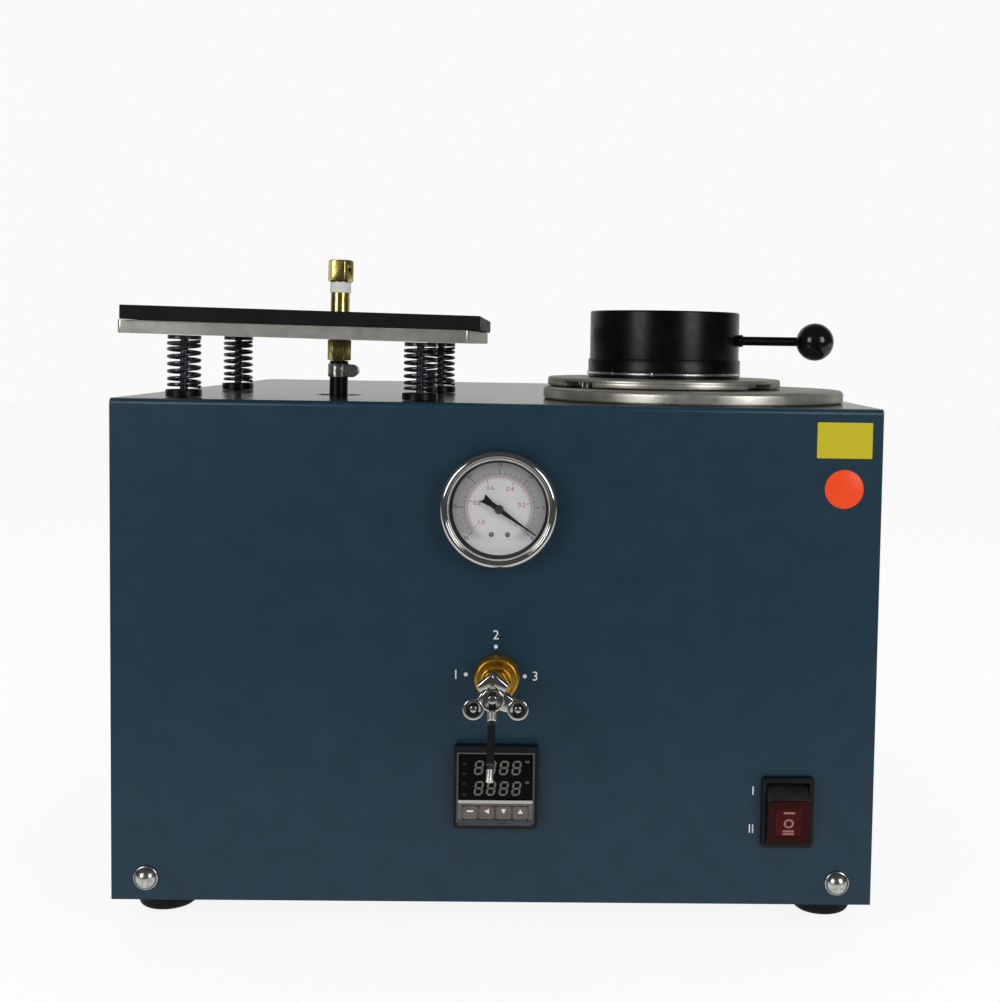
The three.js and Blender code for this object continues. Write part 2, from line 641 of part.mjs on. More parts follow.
add(rockerFace, 'switch_frame', switchFrame(), blackPlastic);
const rockerMesh = add(rockerFace, 'switch_rocker', rockerShape(), redPlastic, 0, 0, -rocker.pivotDeep);
rockerMesh.rotation.x = degrees(rocker.throwAngle / 2);

// Vacuum table on its springs

const tableTop = group(deckTop, tableX, table.depth, table.stand);
tableTop.rotation.y = lean;
const springCorners = corners.map(([sx, sy, place]) => [sx * spring.spread, sy * spring.spread, place]);

function tablePlate() {
  const plate = block(table.side, table.side, 0, table.thick, table.corner);
  return cut(plate, disc(stem.radius + stem.play, -overrun, table.thick + overrun, small)
    .translate(stem.shiftX, stem.shiftY, 0));
}

// The pad is modelled about the stem, which it is turned on a little.
function tablePad() {
  const sheet = block(pad.side, pad.side, 0, pad.thick, pad.corner);
  const hole = disc(stem.radius + stem.play, -overrun, pad.thick + overrun, small);
  return cut(move(sheet, pad.shiftX - stem.shiftX, -stem.shiftY, 0), hole);
}

// A guide rod under a round seat, with the nut that holds it below the deck.
function guideRod(localX) {
  const toDeck = (table.stand - localX * Math.sin(lean)) / Math.cos(lean);
  const end = -toDeck - rod.below;
  const nutTop = -toDeck - deck.sheet - seat * 3;
  return turned([
    [0, end - rod.nutThick], [rod.radius, end - rod.nutThick], [rod.radius, nutTop - rod.nutThick],
    [rod.nut, nutTop - rod.nutThick], [rod.nut, nutTop], [rod.radius, nutTop], [rod.radius, -rod.seatThick],
    [rod.seatRadius, -rod.seatThick], [rod.seatRadius, -seat], [0, -seat],
  ], tiny);
}

function springCup() {
  const bore = rod.radius + rod.play;
  const { radius, height, floor, wall } = cup;
  const inside = radius - wall;
  return ring([
    [bore, seat], [radius, seat], [radius, height], [inside, height], [inside, floor], [bore, floor],
  ], small);
}

// One unbroken helical wire between two heights. Its last turns at each end lie close together.
function coil(from, to, label) {
  const { radius, wire, turns, endTurns, endPitch, steps, sides } = spring;
  const mean = radius - wire / 2;
  const rise = to - from - wire;
  const openPitch = (rise - endTurns * 2 * endPitch) / (turns - endTurns * 2);
  const heightAt = (t) => {
    const first = Math.min(t, endTurns);
    const middle = Math.min(Math.max(t - endTurns, 0), turns - endTurns * 2);
    const last = Math.max(t - (turns - endTurns), 0);
    return from + wire / 2 + (first + last) * endPitch + middle * openPitch;
  };
  const path = [];
  for (let i = 0; i <= turns * steps; i += 1) {
    const angle = (i / steps) * Math.PI * 2;
    path.push(new THREE.Vector3(mean * Math.cos(angle), mean * Math.sin(angle), heightAt(i / steps)));
  }
  path.unshift(path[0].clone().add(new THREE.Vector3(0, -wire, 0)));
  path.push(path[path.length - 1].clone().add(new THREE.Vector3(0, wire, 0)));
  const positions = [];
  const index = [];
  const count = path.length;
  path.forEach((point, i) => {
    const along = path[Math.min(i + 1, count - 1)].clone().sub(path[Math.max(i - 1, 0)]).normalize();
    const side = new THREE.Vector3(point.x, point.y, 0);
    side.addScaledVector(along, -side.dot(along)).normalize();
    const upward = along.clone().cross(side);
    for (let s = 0; s < sides; s += 1) {
      const turn = (s / sides) * Math.PI * 2;
      const corner = point.clone().addScaledVector(side, Math.cos(turn) * wire / 2)
        .addScaledVector(upward, Math.sin(turn) * wire / 2);
      positions.push(corner.x, corner.y, corner.z);
    }
  });
  for (let i = 0; i < count - 1; i += 1) {
    for (let s = 0; s < sides; s += 1) {
      const [a, b] = [i * sides + s, i * sides + ((s + 1) % sides)];
      index.push(a, b, a + sides, b, b + sides, a + sides);
    }
  }
  for (let s = 1; s < sides - 1; s += 1) {
    index.push(0, s + 1, s);
    index.push((count - 1) * sides, (count - 1) * sides + s, (count - 1) * sides + s + 1);
  }
  let least = Infinity;
  for (let i = 0; i < count; i += 1) {
    for (let j = i + steps - 2; j < count; j += 1) least = Math.min(least, path[i].distanceTo(path[j]));
  }
  console.log(`${label}: least gap between turns ${(least - wire).toFixed(2)} mm`);
  const geometry = new THREE.BufferGeometry();
  geometry.setAttribute('position', new THREE.BufferAttribute(new Float32Array(positions), 3));
  geometry.setIndex(index);
  return closed(geometry);
}

add(tableTop, 'table_plate', tablePlate(), aluminium);
const padMesh = add(tableTop, 'table_pad', tablePad(), blackRubber, stem.shiftX, stem.shiftY,
  table.thick + seat);
padMesh.rotation.z = degrees(pad.turnAngle);
for (const [x, y, place] of springCorners) {
  const footX = tableX + footOf(x);
  const middleX = (footX + tableX + x * Math.cos(lean)) / 2;
  const seatHeight = table.stand - x * Math.sin(lean) - rod.seatThick - rod.seatRadius * Math.sin(lean);
  add(tableTop, `guide_rod_${place}`, guideRod(x), blackSteel, x, y, 0);
  add(deckTop, `spring_cup_${place}`, springCup(), blackRubber, footX, table.depth + y, 0);
  add(deckTop, `spring_${place}`, coil(cup.height + seat, seatHeight - seat, `spring_${place}`), blackSteel,
    middleX, table.depth + y, 0);
}

// Vacuum stem, its fittings and its hose

const stemLine = group(tableTop, stem.shiftX, stem.shiftY, 0);

function stemTube() {
  const { radius, bore, tubeTop, tubeBottom, threadRadius, threadFrom, threadTo } = stem;
  return ring([
    [bore, tubeBottom], [radius, tubeBottom], [radius, threadFrom], [threadRadius, threadFrom],
    [threadRadius, threadTo], [radius, threadTo + seat], [radius, tubeTop], [bore, tubeTop],
  ], small);
}

function stemCap() {
  const outer = hexagon(cap.flats, cap.from, cap.top, cap.chamfer);
  const bore = disc(cap.bore, cap.from - overrun, cap.boreTo, small);
  const vent = disc(cap.hole, 0, cap.flats, tiny).rotateY(Math.PI / 2).translate(0, 0, cap.holeUp);
  return cut(outer, bore, vent);
}

function stemFitting() {
  const { flats, length, socketTo, barb, barbBore, barbLength, chamfer } = fitting;
  const nut = hexagon(flats, -length, -seat, chamfer);
  const tail = disc(barb, -length - barbLength, -length / 2, small);
  const socket = disc(stem.radius + seat, -socketTo, overrun, small);
  const bore = disc(barbBore, -length - barbLength - overrun, overrun, tiny);
  return cut(join(nut, tail), socket, bore);
}

function clampBand() {
  const { down, band, thick, housingX, housingWide, housingTall, housingDeep, screw, screwHead } = clamp;
  const inner = hose.radius + seat;
  const middle = -down - band / 2;
  const strap = tube(inner + thick, inner, -down - band, -down, small);
  const housing = move(block(housingWide, housingDeep, middle - housingTall / 2, middle + housingTall / 2),
    housingX - housingWide / 4, 0, 0);
  const worm = disc(screw, -housingDeep / 2 - screwHead, housingDeep / 2, small).rotateX(-Math.PI / 2)
    .translate(housingX, 0, middle);
  const core = disc(inner, -down - band * 2, -down + band, small);
  return join(strap, cut(join(housing, worm), core));
}

add(stemLine, 'stem_tube', stemTube(), brass);
const capMesh = add(stemLine, 'stem_cap', stemCap(), brass);
capMesh.rotation.z = degrees(cap.turnAngle);
add(stemLine, 'stem_fitting', stemFitting(), brass);
const hoseTop = -fitting.length - seat;
const hoseEnd = -table.stand - deck.sheet - hose.below;
add(stemLine, 'table_hose', tube(hose.radius, hose.bore, hoseEnd, hoseTop, small), blackRubber);
add(stemLine, 'hose_clamp', clampBand(), zincSteel);

// Casting flange and vacuum chamber

const casting = group(deckTop, flange.x, flange.depth, 0);
const flangeTop = seat + flange.thick;
const pivotFromFlange = [swivel.x - flange.x, swivel.pivotBack];

function castingFlange() {
  const { radius, round: edge, foot: chamfer, mouth, gasketLand, gasketDeep } = flange;
  const disk = ring([
    [mouth, seat], [radius - chamfer, seat], [radius, seat + chamfer],
    ...arc(radius - edge, flangeTop - edge, edge, 0, 90),
    [gasketLand, flangeTop], [gasketLand, flangeTop - gasketDeep], [mouth, flangeTop - gasketDeep],
  ], fine);
  const socket = disc(pivot.shank + pivot.play, pivot.socketFloor, flangeTop + overrun, small);
  return cut(disk, move(socket, ...pivotFromFlange, 0));
}

function chamberCan() {
  const { radius, wall, depth, outlet, outletBore, outletLength, outletUp } = can;
  const shell = turned([
    [0, -depth], [radius - wall, -depth], [radius, -depth + wall], [radius, 0], [radius - wall, 0],
    [radius - wall, -depth + wall], [0, -depth + wall],
  ], round);
  const along = (r, from, to) => disc(r, from, to, tiny).rotateY(-Math.PI / 2)
    .translate(0, 0, -depth + outletUp);
  return cut(
    join(shell, along(outlet, radius - wall, radius + outletLength)),
    along(outletBore, radius - wall * 2, radius + outletLength + overrun),
  );
}

add(casting, 'casting_flange', castingFlange(), aluminium);
add(casting, 'chamber_gasket', tube(flange.gasketLand - seat, flange.mouth + seat,
  flangeTop - flange.gasketDeep + seat, flangeTop, round), silicone);
add(casting, 'chamber_can', chamberCan(), stainless);

// Melting pot on its swinging plate

const swivelUnder = flangeTop + swivel.gap;
const potUnder = swivelUnder + swivel.thick + seat;
const swinging = group(deckTop, swivel.x, flange.depth, 0);

// The plate is notched under its rim, and stands on pairs of short studs.
function swivelPlate() {
  const { radius, thick, round: edge, pivotBack, gap, studRadius, studReach, studPitch, notchWide, notchDeep,
    notchTall } = swivel;
  const plate = turned([
    [0, swivelUnder], [radius - edge, swivelUnder],
    ...arc(radius - edge, swivelUnder + edge, edge, -60, 0, 2),
    ...arc(radius - edge, swivelUnder + thick - edge, edge, 0, 90, 3),
    [0, swivelUnder + thick],
  ], fine);
  const notches = notchAngles.map((angle) =>
    block(notchDeep * 2, notchWide, swivelUnder - overrun, swivelUnder + notchTall)
      .translate(radius, 0, 0).rotateZ(degrees(angle)));
  const studs = studAngles.flatMap((angle) => [-1, 1].map((side) => {
    const stud = disc(studRadius, swivelUnder - gap + seat, swivelUnder + (notchTall + thick) / 2, tiny / 2);
    return move(stud, studReach, side * studPitch / 2, 0).rotateZ(degrees(angle));
  }));
  const hole = disc(pivot.shank + pivot.play, swivelUnder - overrun, swivelUnder + thick + overrun, small);
  return cut(join(cut(plate, ...notches), ...studs), move(hole, 0, pivotBack, 0));
}

const potTop = potUnder + pot.height;
const boreRadius = pot.radius - pot.wall - seat - lining.wall;

function potShell() {
  const { radius, band, bandHeight, wall, floor, lip, lipThick, round: edge, seamUp, seamSlot } = pot;
  return turned([
    [0, potUnder], [radius + band, potUnder], [radius + band, potUnder + seamUp], [radius, potUnder + seamUp],
    [radius, potUnder + seamUp + seamSlot], [radius + band, potUnder + seamUp + seamSlot],
    [radius + band, potUnder + bandHeight - band / 2], [radius, potUnder + bandHeight],
    ...arc(radius - edge, potTop - edge, edge, 0, 90, 3),
    [radius - lip, potTop], [radius - lip, potTop - lipThick], [radius - wall, potTop - lipThick],
    [radius - wall, potUnder + floor], [0, potUnder + floor],
  ], fine);
}

const liningUnder = potUnder + pot.floor + seat;
const liningTop = potTop - pot.lipThick - lining.below;
const bedTop = liningUnder + lining.floor;

function potLining() {
  const outer = pot.radius - pot.wall - seat;
  return turned([
    [0, liningUnder], [outer, liningUnder], [outer, liningTop], [boreRadius, liningTop], [boreRadius, bedTop],
    [0, bedTop],
  ], round);
}

const heaterOuter = boreRadius - seat;
const heaterInner = heaterOuter - heater.wall;
const heaterTop = liningTop - heater.below;
const crucibleOuter = heaterInner - crucible.play;
const crucibleTop = potTop - crucible.below;

function crucibleShape() {
  const { wall, taper, floor, rim, rimWide, dish } = crucible;
  const under = bedTop + seat;
  const inner = crucibleOuter - wall;
  return turned([
    [0, under], [crucibleOuter - taper, under], [crucibleOuter, crucibleTop - rim],
    [crucibleOuter + rimWide, crucibleTop - rim], [crucibleOuter + rimWide, crucibleTop],
    [inner, crucibleTop],
    ...arc(inner - taper - dish, under + floor + dish, dish, 0, -90, 3),
    [0, under + floor],
  ], round);
}

add(swinging, 'swivel_plate', swivelPlate(), aluminium);
add(swinging, 'pot_shell', potShell(), blackSteel);
add(swinging, 'pot_seam_ring', tube(pot.radius + seam.proud, pot.radius + seat, potUnder + pot.seamUp + seat,
  potUnder + pot.seamUp + seat + seam.thick, fine), stainless);
add(swinging, 'pot_lining', potLining(), refractory);
add(swinging, 'heater_sleeve', tube(heaterOuter, heaterInner, bedTop + seat, heaterTop, round), ceramic);
add(swinging, 'crucible', crucibleShape(), graphite);

// The handle is modelled along Z from the pot's middle and then laid along its own angle.
function gripRod() {
  const { boss, bossLength, rod: bar, reach, ball, into } = grip;
  const from = pot.radius + seat;
  return turned([
    [0, from], [boss, from], [boss, from + bossLength], [bar, from + bossLength], [bar, reach - ball + into],
    [0, reach - ball + into],
  ], tiny);
}

function gripBall() {
  const { rod: bar, reach, ball, into, play } = grip;
  const socket = disc(bar + play, reach - ball * 2, reach - ball + into + play, tiny);
  const globe = turned(arc(0, reach, ball, -90, 90, tiny), small);
  return cut(globe, socket);
}

const gripLine = group(swinging, 0, 0, potUnder + grip.up);
gripLine.rotation.set(0, Math.PI / 2, degrees(grip.angle), 'ZYX');
add(gripLine, 'handle_rod', gripRod(), blackSteel);
add(gripLine, 'ball_knob', gripBall(), glossBlack);

function pivotScrew() {
  const { shank, head, headThick, socketFloor, slot, slotDeep } = pivot;
  const under = swivelUnder + swivel.thick + seat;
  const top = under + headThick;
  const screw = turned([
    [0, socketFloor + seat], [shank, socketFloor + seat], [shank, under], [head, under],
    [head, top - headThick / 4], [head - headThick / 4, top], [0, top],
  ], small);
  return cut(screw, block(head * 2 + overrun, slot, top - slotDeep, top + overrun));
}

add(swinging, 'pivot_screw', pivotScrew(), chrome, 0, swivel.pivotBack, 0);

// Pump and transformer on the floor of the cabinet

function vacuumPump() {
  const { motor, motorLength, saddleLength, fins, fin, finGap, headWide, headDeep, headTall, rail, railTall,
    railSpread, shaftUp, corner, port, portLength } = pump;
  const bottom = base.sheet + seat;
  const top = bottom + headTall;
  const onRails = bottom + railTall / 2;
  const alongX = (radius, from, to) => disc(radius, from, to, tiny).rotateY(Math.PI / 2)
    .translate(0, 0, bottom + shaftUp);
  const head = move(block(headWide, headDeep, onRails, top, corner), -headWide / 2, 0, 0);
  const finDiscs = Array.from({ length: fins }, (_, i) => {
    const from = (i + 1) * finGap + fin;
    return alongX(motor + fin, from, from + fin);
  });
  const length = motorLength + headWide;
  const rails = [-1, 1].map((side) => move(block(length, rail, bottom, bottom + railTall),
    length / 2 - headWide, side * railSpread, 0));
  const saddle = move(block(saddleLength, motor, onRails, bottom + shaftUp), motorLength / 2, 0, 0);
  const inletPort = move(disc(port, top - corner, top + portLength, tiny), -headWide / 2, 0, 0);
  return join(head, alongX(motor, -corner, motorLength), ...finDiscs, ...rails, saddle, inletPort);
}

function heaterTransformer() {
  const { wide, deep, tall, coilWide, coilOut, coilTall, foot: toe, footTall, round: edge } = transformer;
  const bottom = base.sheet + seat;
  const core = block(wide, deep, bottom, bottom + tall);
  const winding = move(block(coilWide, deep + coilOut * 2, bottom + (tall - coilTall) / 2,
    bottom + (tall + coilTall) / 2, edge), 0, 0, 0);
  const toes = block(wide + toe * 2, deep - toe, bottom, bottom + footTall);
  return join(core, winding, toes);
}

add(body, 'vacuum_pump', vacuumPump(), castGrey, pumpX, pump.depth, 0);
add(body, 'heater_transformer', heaterTransformer(), copperWound, transformer.x, transformer.depth, 0);

// Power inlet on the rear: its Z points at the rear, its Y points up.

function powerInlet() {
  const { plateWide, plateTall, plateThick, wellWide, wellTall, wellDeep, wall, chamfer, pinWide, pinTall,
    pinSpread, pinDrop, pinReach } = inlet;
  const [x, y] = [wellWide / 2, wellTall / 2];
  const mouth = outline([
    [-x, -y], [x, -y], [x, y - chamfer], [x - chamfer, y], [-x + chamfer, y], [-x, y - chamfer],
  ]);
  const shell = join(
    block(plateWide, plateTall, seat, seat + plateThick, chamfer / 2),
    block(wellWide + wall * 2, wellTall + wall * 2, -wellDeep, seat + plateThick / 2),
  );
  const well = extruded(mouth, -wellDeep + wall, plateThick + overrun);
  const blade = block(pinWide, pinTall, -wellDeep + wall / 2, -wellDeep + pinReach);
  const pin = (px, py) => move(blade, px, py, 0);
  return join(cut(shell, well), pin(-pinSpread, -pinDrop), pin(pinSpread, -pinDrop), pin(0, pinDrop));
}

const rearFace = group(body, inletX, cabinet.depth, inlet.z);
rearFace.rotation.set(-Math.PI / 2, 0, Math.PI);
add(rearFace, 'power_inlet', powerInlet(), blackPlastic);

export default machine;
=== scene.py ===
# Looks of the bench-top vacuum and melting machine.
# Sizes in the modelling functions are millimetres; a piece turns to metres when it is placed.

import math

import bmesh
import bpy
from mathutils import Matrix, Vector


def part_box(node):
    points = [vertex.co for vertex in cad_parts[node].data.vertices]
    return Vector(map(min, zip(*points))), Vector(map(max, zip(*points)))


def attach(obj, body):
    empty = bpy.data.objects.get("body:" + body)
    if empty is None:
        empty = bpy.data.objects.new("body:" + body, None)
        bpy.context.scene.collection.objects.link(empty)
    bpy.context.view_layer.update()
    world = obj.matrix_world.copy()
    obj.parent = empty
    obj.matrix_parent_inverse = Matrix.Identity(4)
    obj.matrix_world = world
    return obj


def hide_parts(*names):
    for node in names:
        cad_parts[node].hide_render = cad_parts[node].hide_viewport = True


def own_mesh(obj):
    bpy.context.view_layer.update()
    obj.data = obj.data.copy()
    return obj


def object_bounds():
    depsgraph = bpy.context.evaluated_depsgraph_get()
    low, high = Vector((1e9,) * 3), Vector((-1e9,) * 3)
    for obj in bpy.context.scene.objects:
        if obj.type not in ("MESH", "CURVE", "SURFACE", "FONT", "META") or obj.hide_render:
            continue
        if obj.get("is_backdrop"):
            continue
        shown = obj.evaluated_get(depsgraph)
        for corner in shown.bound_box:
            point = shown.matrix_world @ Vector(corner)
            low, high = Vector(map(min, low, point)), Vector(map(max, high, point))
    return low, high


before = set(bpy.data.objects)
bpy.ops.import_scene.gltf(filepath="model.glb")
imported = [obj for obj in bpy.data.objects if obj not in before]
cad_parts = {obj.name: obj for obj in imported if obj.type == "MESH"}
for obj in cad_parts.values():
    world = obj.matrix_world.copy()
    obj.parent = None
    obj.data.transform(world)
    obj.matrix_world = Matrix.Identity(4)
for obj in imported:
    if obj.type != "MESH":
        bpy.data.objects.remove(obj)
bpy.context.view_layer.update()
MM = 0.001
METRES = Matrix.Scale(MM, 4)
MERGE = 0.0005
FLAT_SHEET = 400 * MM * MM
ORIGIN, UPWARD = (0, 0, 0), (0, 0, 1)


def moved(x, y, z):
    return Matrix.Translation((x, y, z))


def turned(angle, axis):
    return Matrix.Rotation(math.radians(angle), 4, axis)


# Places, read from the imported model

def corners_mm(node):
    low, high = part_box(node)
    return low / MM, high / MM


def middle_mm(node):
    low, high = corners_mm(node)
    return (low + high) / 2


front_low, front_high = corners_mm("front_panel")
FRONT = front_low.y
UNDERSIDE = front_low.z
DECK = front_high.z
COLUMN_X = middle_mm("gauge_case").x
GAUGE_Z = middle_mm("gauge_bezel").z
BARREL = 13.0
VALVE_Z = corners_mm("valve_body")[0].z + BARREL
CONTROLLER_Z = middle_mm("controller_body").z
SWITCH = middle_mm("switch_frame")
FLANGE = middle_mm("casting_flange")
POT = middle_mm("pot_shell")
BALL = middle_mm("ball_knob")
TABLE_X, TABLE_DEEP, TABLE_STAND, TABLE_LEAN = -116.5, 99, 35.35, 0.85
STEM_X, STEM_Y, CAP_TURN = 10.3, 1, -46
TABLE_PLACE = moved(TABLE_X, FRONT + TABLE_DEEP, DECK + TABLE_STAND) @ turned(TABLE_LEAN, "Y")
STEM_PLACE = TABLE_PLACE @ moved(STEM_X, STEM_Y, 0)
TO_VIEWER = turned(90, "X")


def above_deck(node):
    return [corner.z - DECK for corner in corners_mm(node)]


def on_front(x, z, out=0):
    return Matrix.Translation((x, FRONT - out, z)) @ TO_VIEWER


# Modelling

def lathe(profile, steps=96, closed=False):
    """Spins a profile of (radius, height) about Z."""
    bm = bmesh.new()
    verts = [bm.verts.new((radius, 0, height)) for radius, height in profile]
    pairs = list(zip(verts, verts[1:]))
    if closed:
        pairs.append((verts[-1], verts[0]))
    edges = [bm.edges.new(pair) for pair in pairs]
    bmesh.ops.spin(bm, geom=verts + edges, cent=ORIGIN, axis=UPWARD, dvec=ORIGIN,
                   angle=math.tau, steps=steps, use_merge=True, use_duplicate=False)
    bmesh.ops.remove_doubles(bm, verts=bm.verts, dist=MERGE)
    bmesh.ops.recalc_face_normals(bm, faces=bm.faces)
    return bm


def bow(radius_at, height_at, radius, start, end, steps=6):
    """Points of an arc in a lathe profile, angles in degrees."""
    points = []
    for i in range(steps + 1):
        angle = math.radians(start + (end - start) * i / steps)
        points.append((radius_at + radius * math.cos(angle), height_at + radius * math.sin(angle)))
    return points


def slab(width, depth, low, high, corner=0.0, segments=6):
    """A plate about Z with rounded upright corners."""
    bm = bmesh.new()
    bmesh.ops.create_cube(bm, size=1)
    bmesh.ops.scale(bm, verts=bm.verts, vec=(width, depth, high - low))
    bmesh.ops.translate(bm, verts=bm.verts, vec=(0, 0, (high + low) / 2))
    if corner:
        upright = [e for e in bm.edges if abs(e.verts[0].co.z - e.verts[1].co.z) > 1e-6]
        bmesh.ops.bevel(bm, geom=upright, offset=corner, offset_type="OFFSET", affect="EDGES",
                        segments=segments, profile=0.5, material=-1)
    return bm


def cutout(points, low, high):
    """A flat outline of (x, y) points, drawn up into a plate."""
    bm = bmesh.new()
    face = bm.faces.new([bm.verts.new((x, y, low)) for x, y in points])
    grown = bmesh.ops.extrude_face_region(bm, geom=[face])
    top = [g for g in grown["geom"] if isinstance(g, bmesh.types.BMVert)]
    bmesh.ops.translate(bm, verts=top, vec=(0, 0, high - low))
    bmesh.ops.recalc_face_normals(bm, faces=bm.faces)
    return bm


def soften(bm, offset, angle=35, segments=2):
    """Rounds every edge sharper than an angle, as tumbling or tooling does."""
    sharp = [e for e in bm.edges
             if len(e.link_faces) == 2 and e.calc_face_angle(0) > math.radians(angle)]
    bmesh.ops.bevel(bm, geom=sharp, offset=offset, offset_type="OFFSET", affect="EDGES",
                    segments=segments, profile=0.5, material=-1, clamp_overlap=True)
    return bm


def place(bm, matrix):
    bmesh.ops.transform(bm, matrix=matrix, verts=bm.verts)
    return bm


def gather(*parts):
    """Puts several shells into one mesh."""
    whole = bmesh.new()
    for part in parts:
        shell = bpy.data.meshes.new("shell")
        part.to_mesh(shell)
        part.free()
        whole.from_mesh(shell)
        bpy.data.meshes.remove(shell)
    return whole


def painted(bm, index):
    """Gives a whole shell one of its piece's materials."""
    for face in bm.faces:
        face.material_index = index
    return bm


def copied(node, offset, angle=35):
    """A merged copy of a solid in millimetres, with its flat faces whole and its edges rounded."""
    bm = bmesh.new()
    bm.from_mesh(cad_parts[node].data)
    bmesh.ops.transform(bm, matrix=METRES.inverted(), verts=bm.verts)
    bmesh.ops.remove_doubles(bm, verts=bm.verts, dist=MERGE)
    bmesh.ops.dissolve_limit(bm, angle_limit=math.radians(0.5), verts=bm.verts, edges=bm.edges)
    return soften(bm, offset, angle)


def finished(bm, name, body, material, *nodes, slot=None, at=None, smooth=35):
    """Turns a mesh in millimetres into a piece that rides on a body and stands for its nodes."""
    if at is not None:
        place(bm, at)
    place(bm, METRES)
    mesh = bpy.data.meshes.new(name)
    bm.to_mesh(mesh)
    bm.free()
    # Normals kept from a CAD copy no longer fit its joined faces
    if "custom_normal" in mesh.attributes:
        mesh.attributes.remove(mesh.attributes["custom_normal"])
    mesh.set_sharp_from_angle(angle=math.radians(smooth))
    # A big flat sheet keeps its own flat normal, so only its rounded edges shade smoothly
    mesh.polygons.foreach_set("use_smooth", [face.area < FLAT_SHEET for face in mesh.polygons])
    for one in (material if isinstance(material, (list, tuple)) else [material]):
        mesh.materials.append(one)
    piece = bpy.data.objects.new(name, mesh)
    bpy.context.scene.collection.objects.link(piece)
    if nodes:
        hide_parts(*nodes)
    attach(piece, body)
    return piece


def dressed(*rows):
    """Softened copies of solids, from rows of node, edge, name, body, material and slot."""
    for node, edge, name, body, surface, slot in rows:
        finished(copied(node, edge), name, body, surface, node, slot=slot)


def fitted(at, body, *rows):
    """Pieces of one body at one place, from rows of shape, name, material, node and slot."""
    for made, name, surface, *rest in rows:
        finished(made, name, body, surface, *rest[:1], slot=rest[1] if rest else None, at=at)


# Materials

def linear(code):
    """An sRGB hex value as linear colour."""
    parts = [int(code[i:i + 2], 16) / 255 for i in (1, 3, 5)]
    return [p / 12.92 if p <= 0.04045 else ((p + 0.055) / 1.055) ** 2.4 for p in parts] + [1.0]


def add(tree, kind, inputs=None, **settings):
    """Adds one shader node with its settings, its values and its links."""
    made = tree.nodes.new("ShaderNode" + kind)
    for name, value in settings.items():
        setattr(made, name, value)
    for socket, value in (inputs or {}).items():
        target = made.inputs[socket]
        if isinstance(value, bpy.types.NodeSocket):
            tree.links.new(value, target)
        else:
            target.default_value = value
    return made


def material(name, shader_values):
    made = bpy.data.materials.new(name)
    made.use_nodes = True
    tree = made.node_tree
    tree.nodes.clear()
    shader = add(tree, "BsdfPrincipled", shader_values)
    add(tree, "OutputMaterial", {"Surface": shader.outputs["BSDF"]})
    place_on = add(tree, "TexCoord").outputs["Object"]
    return made, tree, shader, place_on


def grain(tree, place_on, size_mm, detail):
    """Irregular grain of a real size, as a value from 0 to 1."""
    return add(tree, "TexNoise", {"Vector": place_on, "Scale": 1 / (size_mm * MM),
                                  "Detail": detail, "Roughness": 0.55}).outputs["Fac"]


def remap(tree, value, start, end, low=0.0, high=1.0, smooth=False):
    """Turns one range of a value into another."""
    return add(tree, "MapRange", {"Value": value, "From Min": start, "From Max": end,
                                  "To Min": low, "To Max": high},
               interpolation_type="SMOOTHSTEP" if smooth else "LINEAR").outputs["Result"]


def raise_surface(tree, shader, height, depth_mm):
    bump = add(tree, "Bump", {"Height": height, "Distance": depth_mm * MM, "Strength": 1.0})
    tree.links.new(bump.outputs["Normal"], shader.inputs["Normal"])


def vary_gloss(tree, shader, value, low, high):
    """Roughness that follows a 0 to 1 value."""
    tree.links.new(remap(tree, value, 0.3, 0.7, low, high), shader.inputs["Roughness"])


def two_tone(tree, shader, value, dark, light, low=0.35, high=0.65):
    """Colour that drifts between two near tones."""
    ramp = add(tree, "ValToRGB", {"Fac": value})
    for element, at, code in zip(ramp.color_ramp.elements, (low, high), (dark, light)):
        element.position = at
        element.color = linear(code)
    tree.links.new(ramp.outputs["Color"], shader.inputs["Base Color"])


def coat(rough, ior, level):
    return {"Roughness": rough, "IOR": ior, "Specular IOR Level": level}


def metal(rough, share=1.0):
    return {"Metallic": share, "Roughness": rough}


def skin(name, values, drift, tones, relief, gloss=None):
    """Two tones that drift (mm, detail), a relief (mm, detail, depth in mm), and a roughness
    that follows a grain (mm, detail, low, high)."""
    made, tree, shader, at = material(name, values)
    two_tone(tree, shader, grain(tree, at, *drift), *tones)
    if gloss:
        vary_gloss(tree, shader, grain(tree, at, *gloss[:2]), *gloss[2:])
    raise_surface(tree, shader, grain(tree, at, *relief[:2]), relief[2])
    return made


def rolled_stainless():
    # Bright cold-rolled stainless: almost a mirror, with fine rolling lines 0.5 mm apart
    made, tree, shader, at = material("rolled_stainless",
                                      metal(0.18) | {"Specular Tint": linear("#b8b8b8")})
    lines = add(tree, "Mapping", {"Vector": at, "Scale": (1.5, 2000, 2000)}).outputs["Vector"]
    drawn = add(tree, "TexNoise", {"Vector": lines, "Scale": 1.0, "Detail": 4.0}).outputs["Fac"]
    two_tone(tree, shader, drawn, "#b3b2a9", "#c3c2b9")
    vary_gloss(tree, shader, drawn, 0.13, 0.22)
    raise_surface(tree, shader, grain(tree, at, 40, 2), 0.05)
    return made


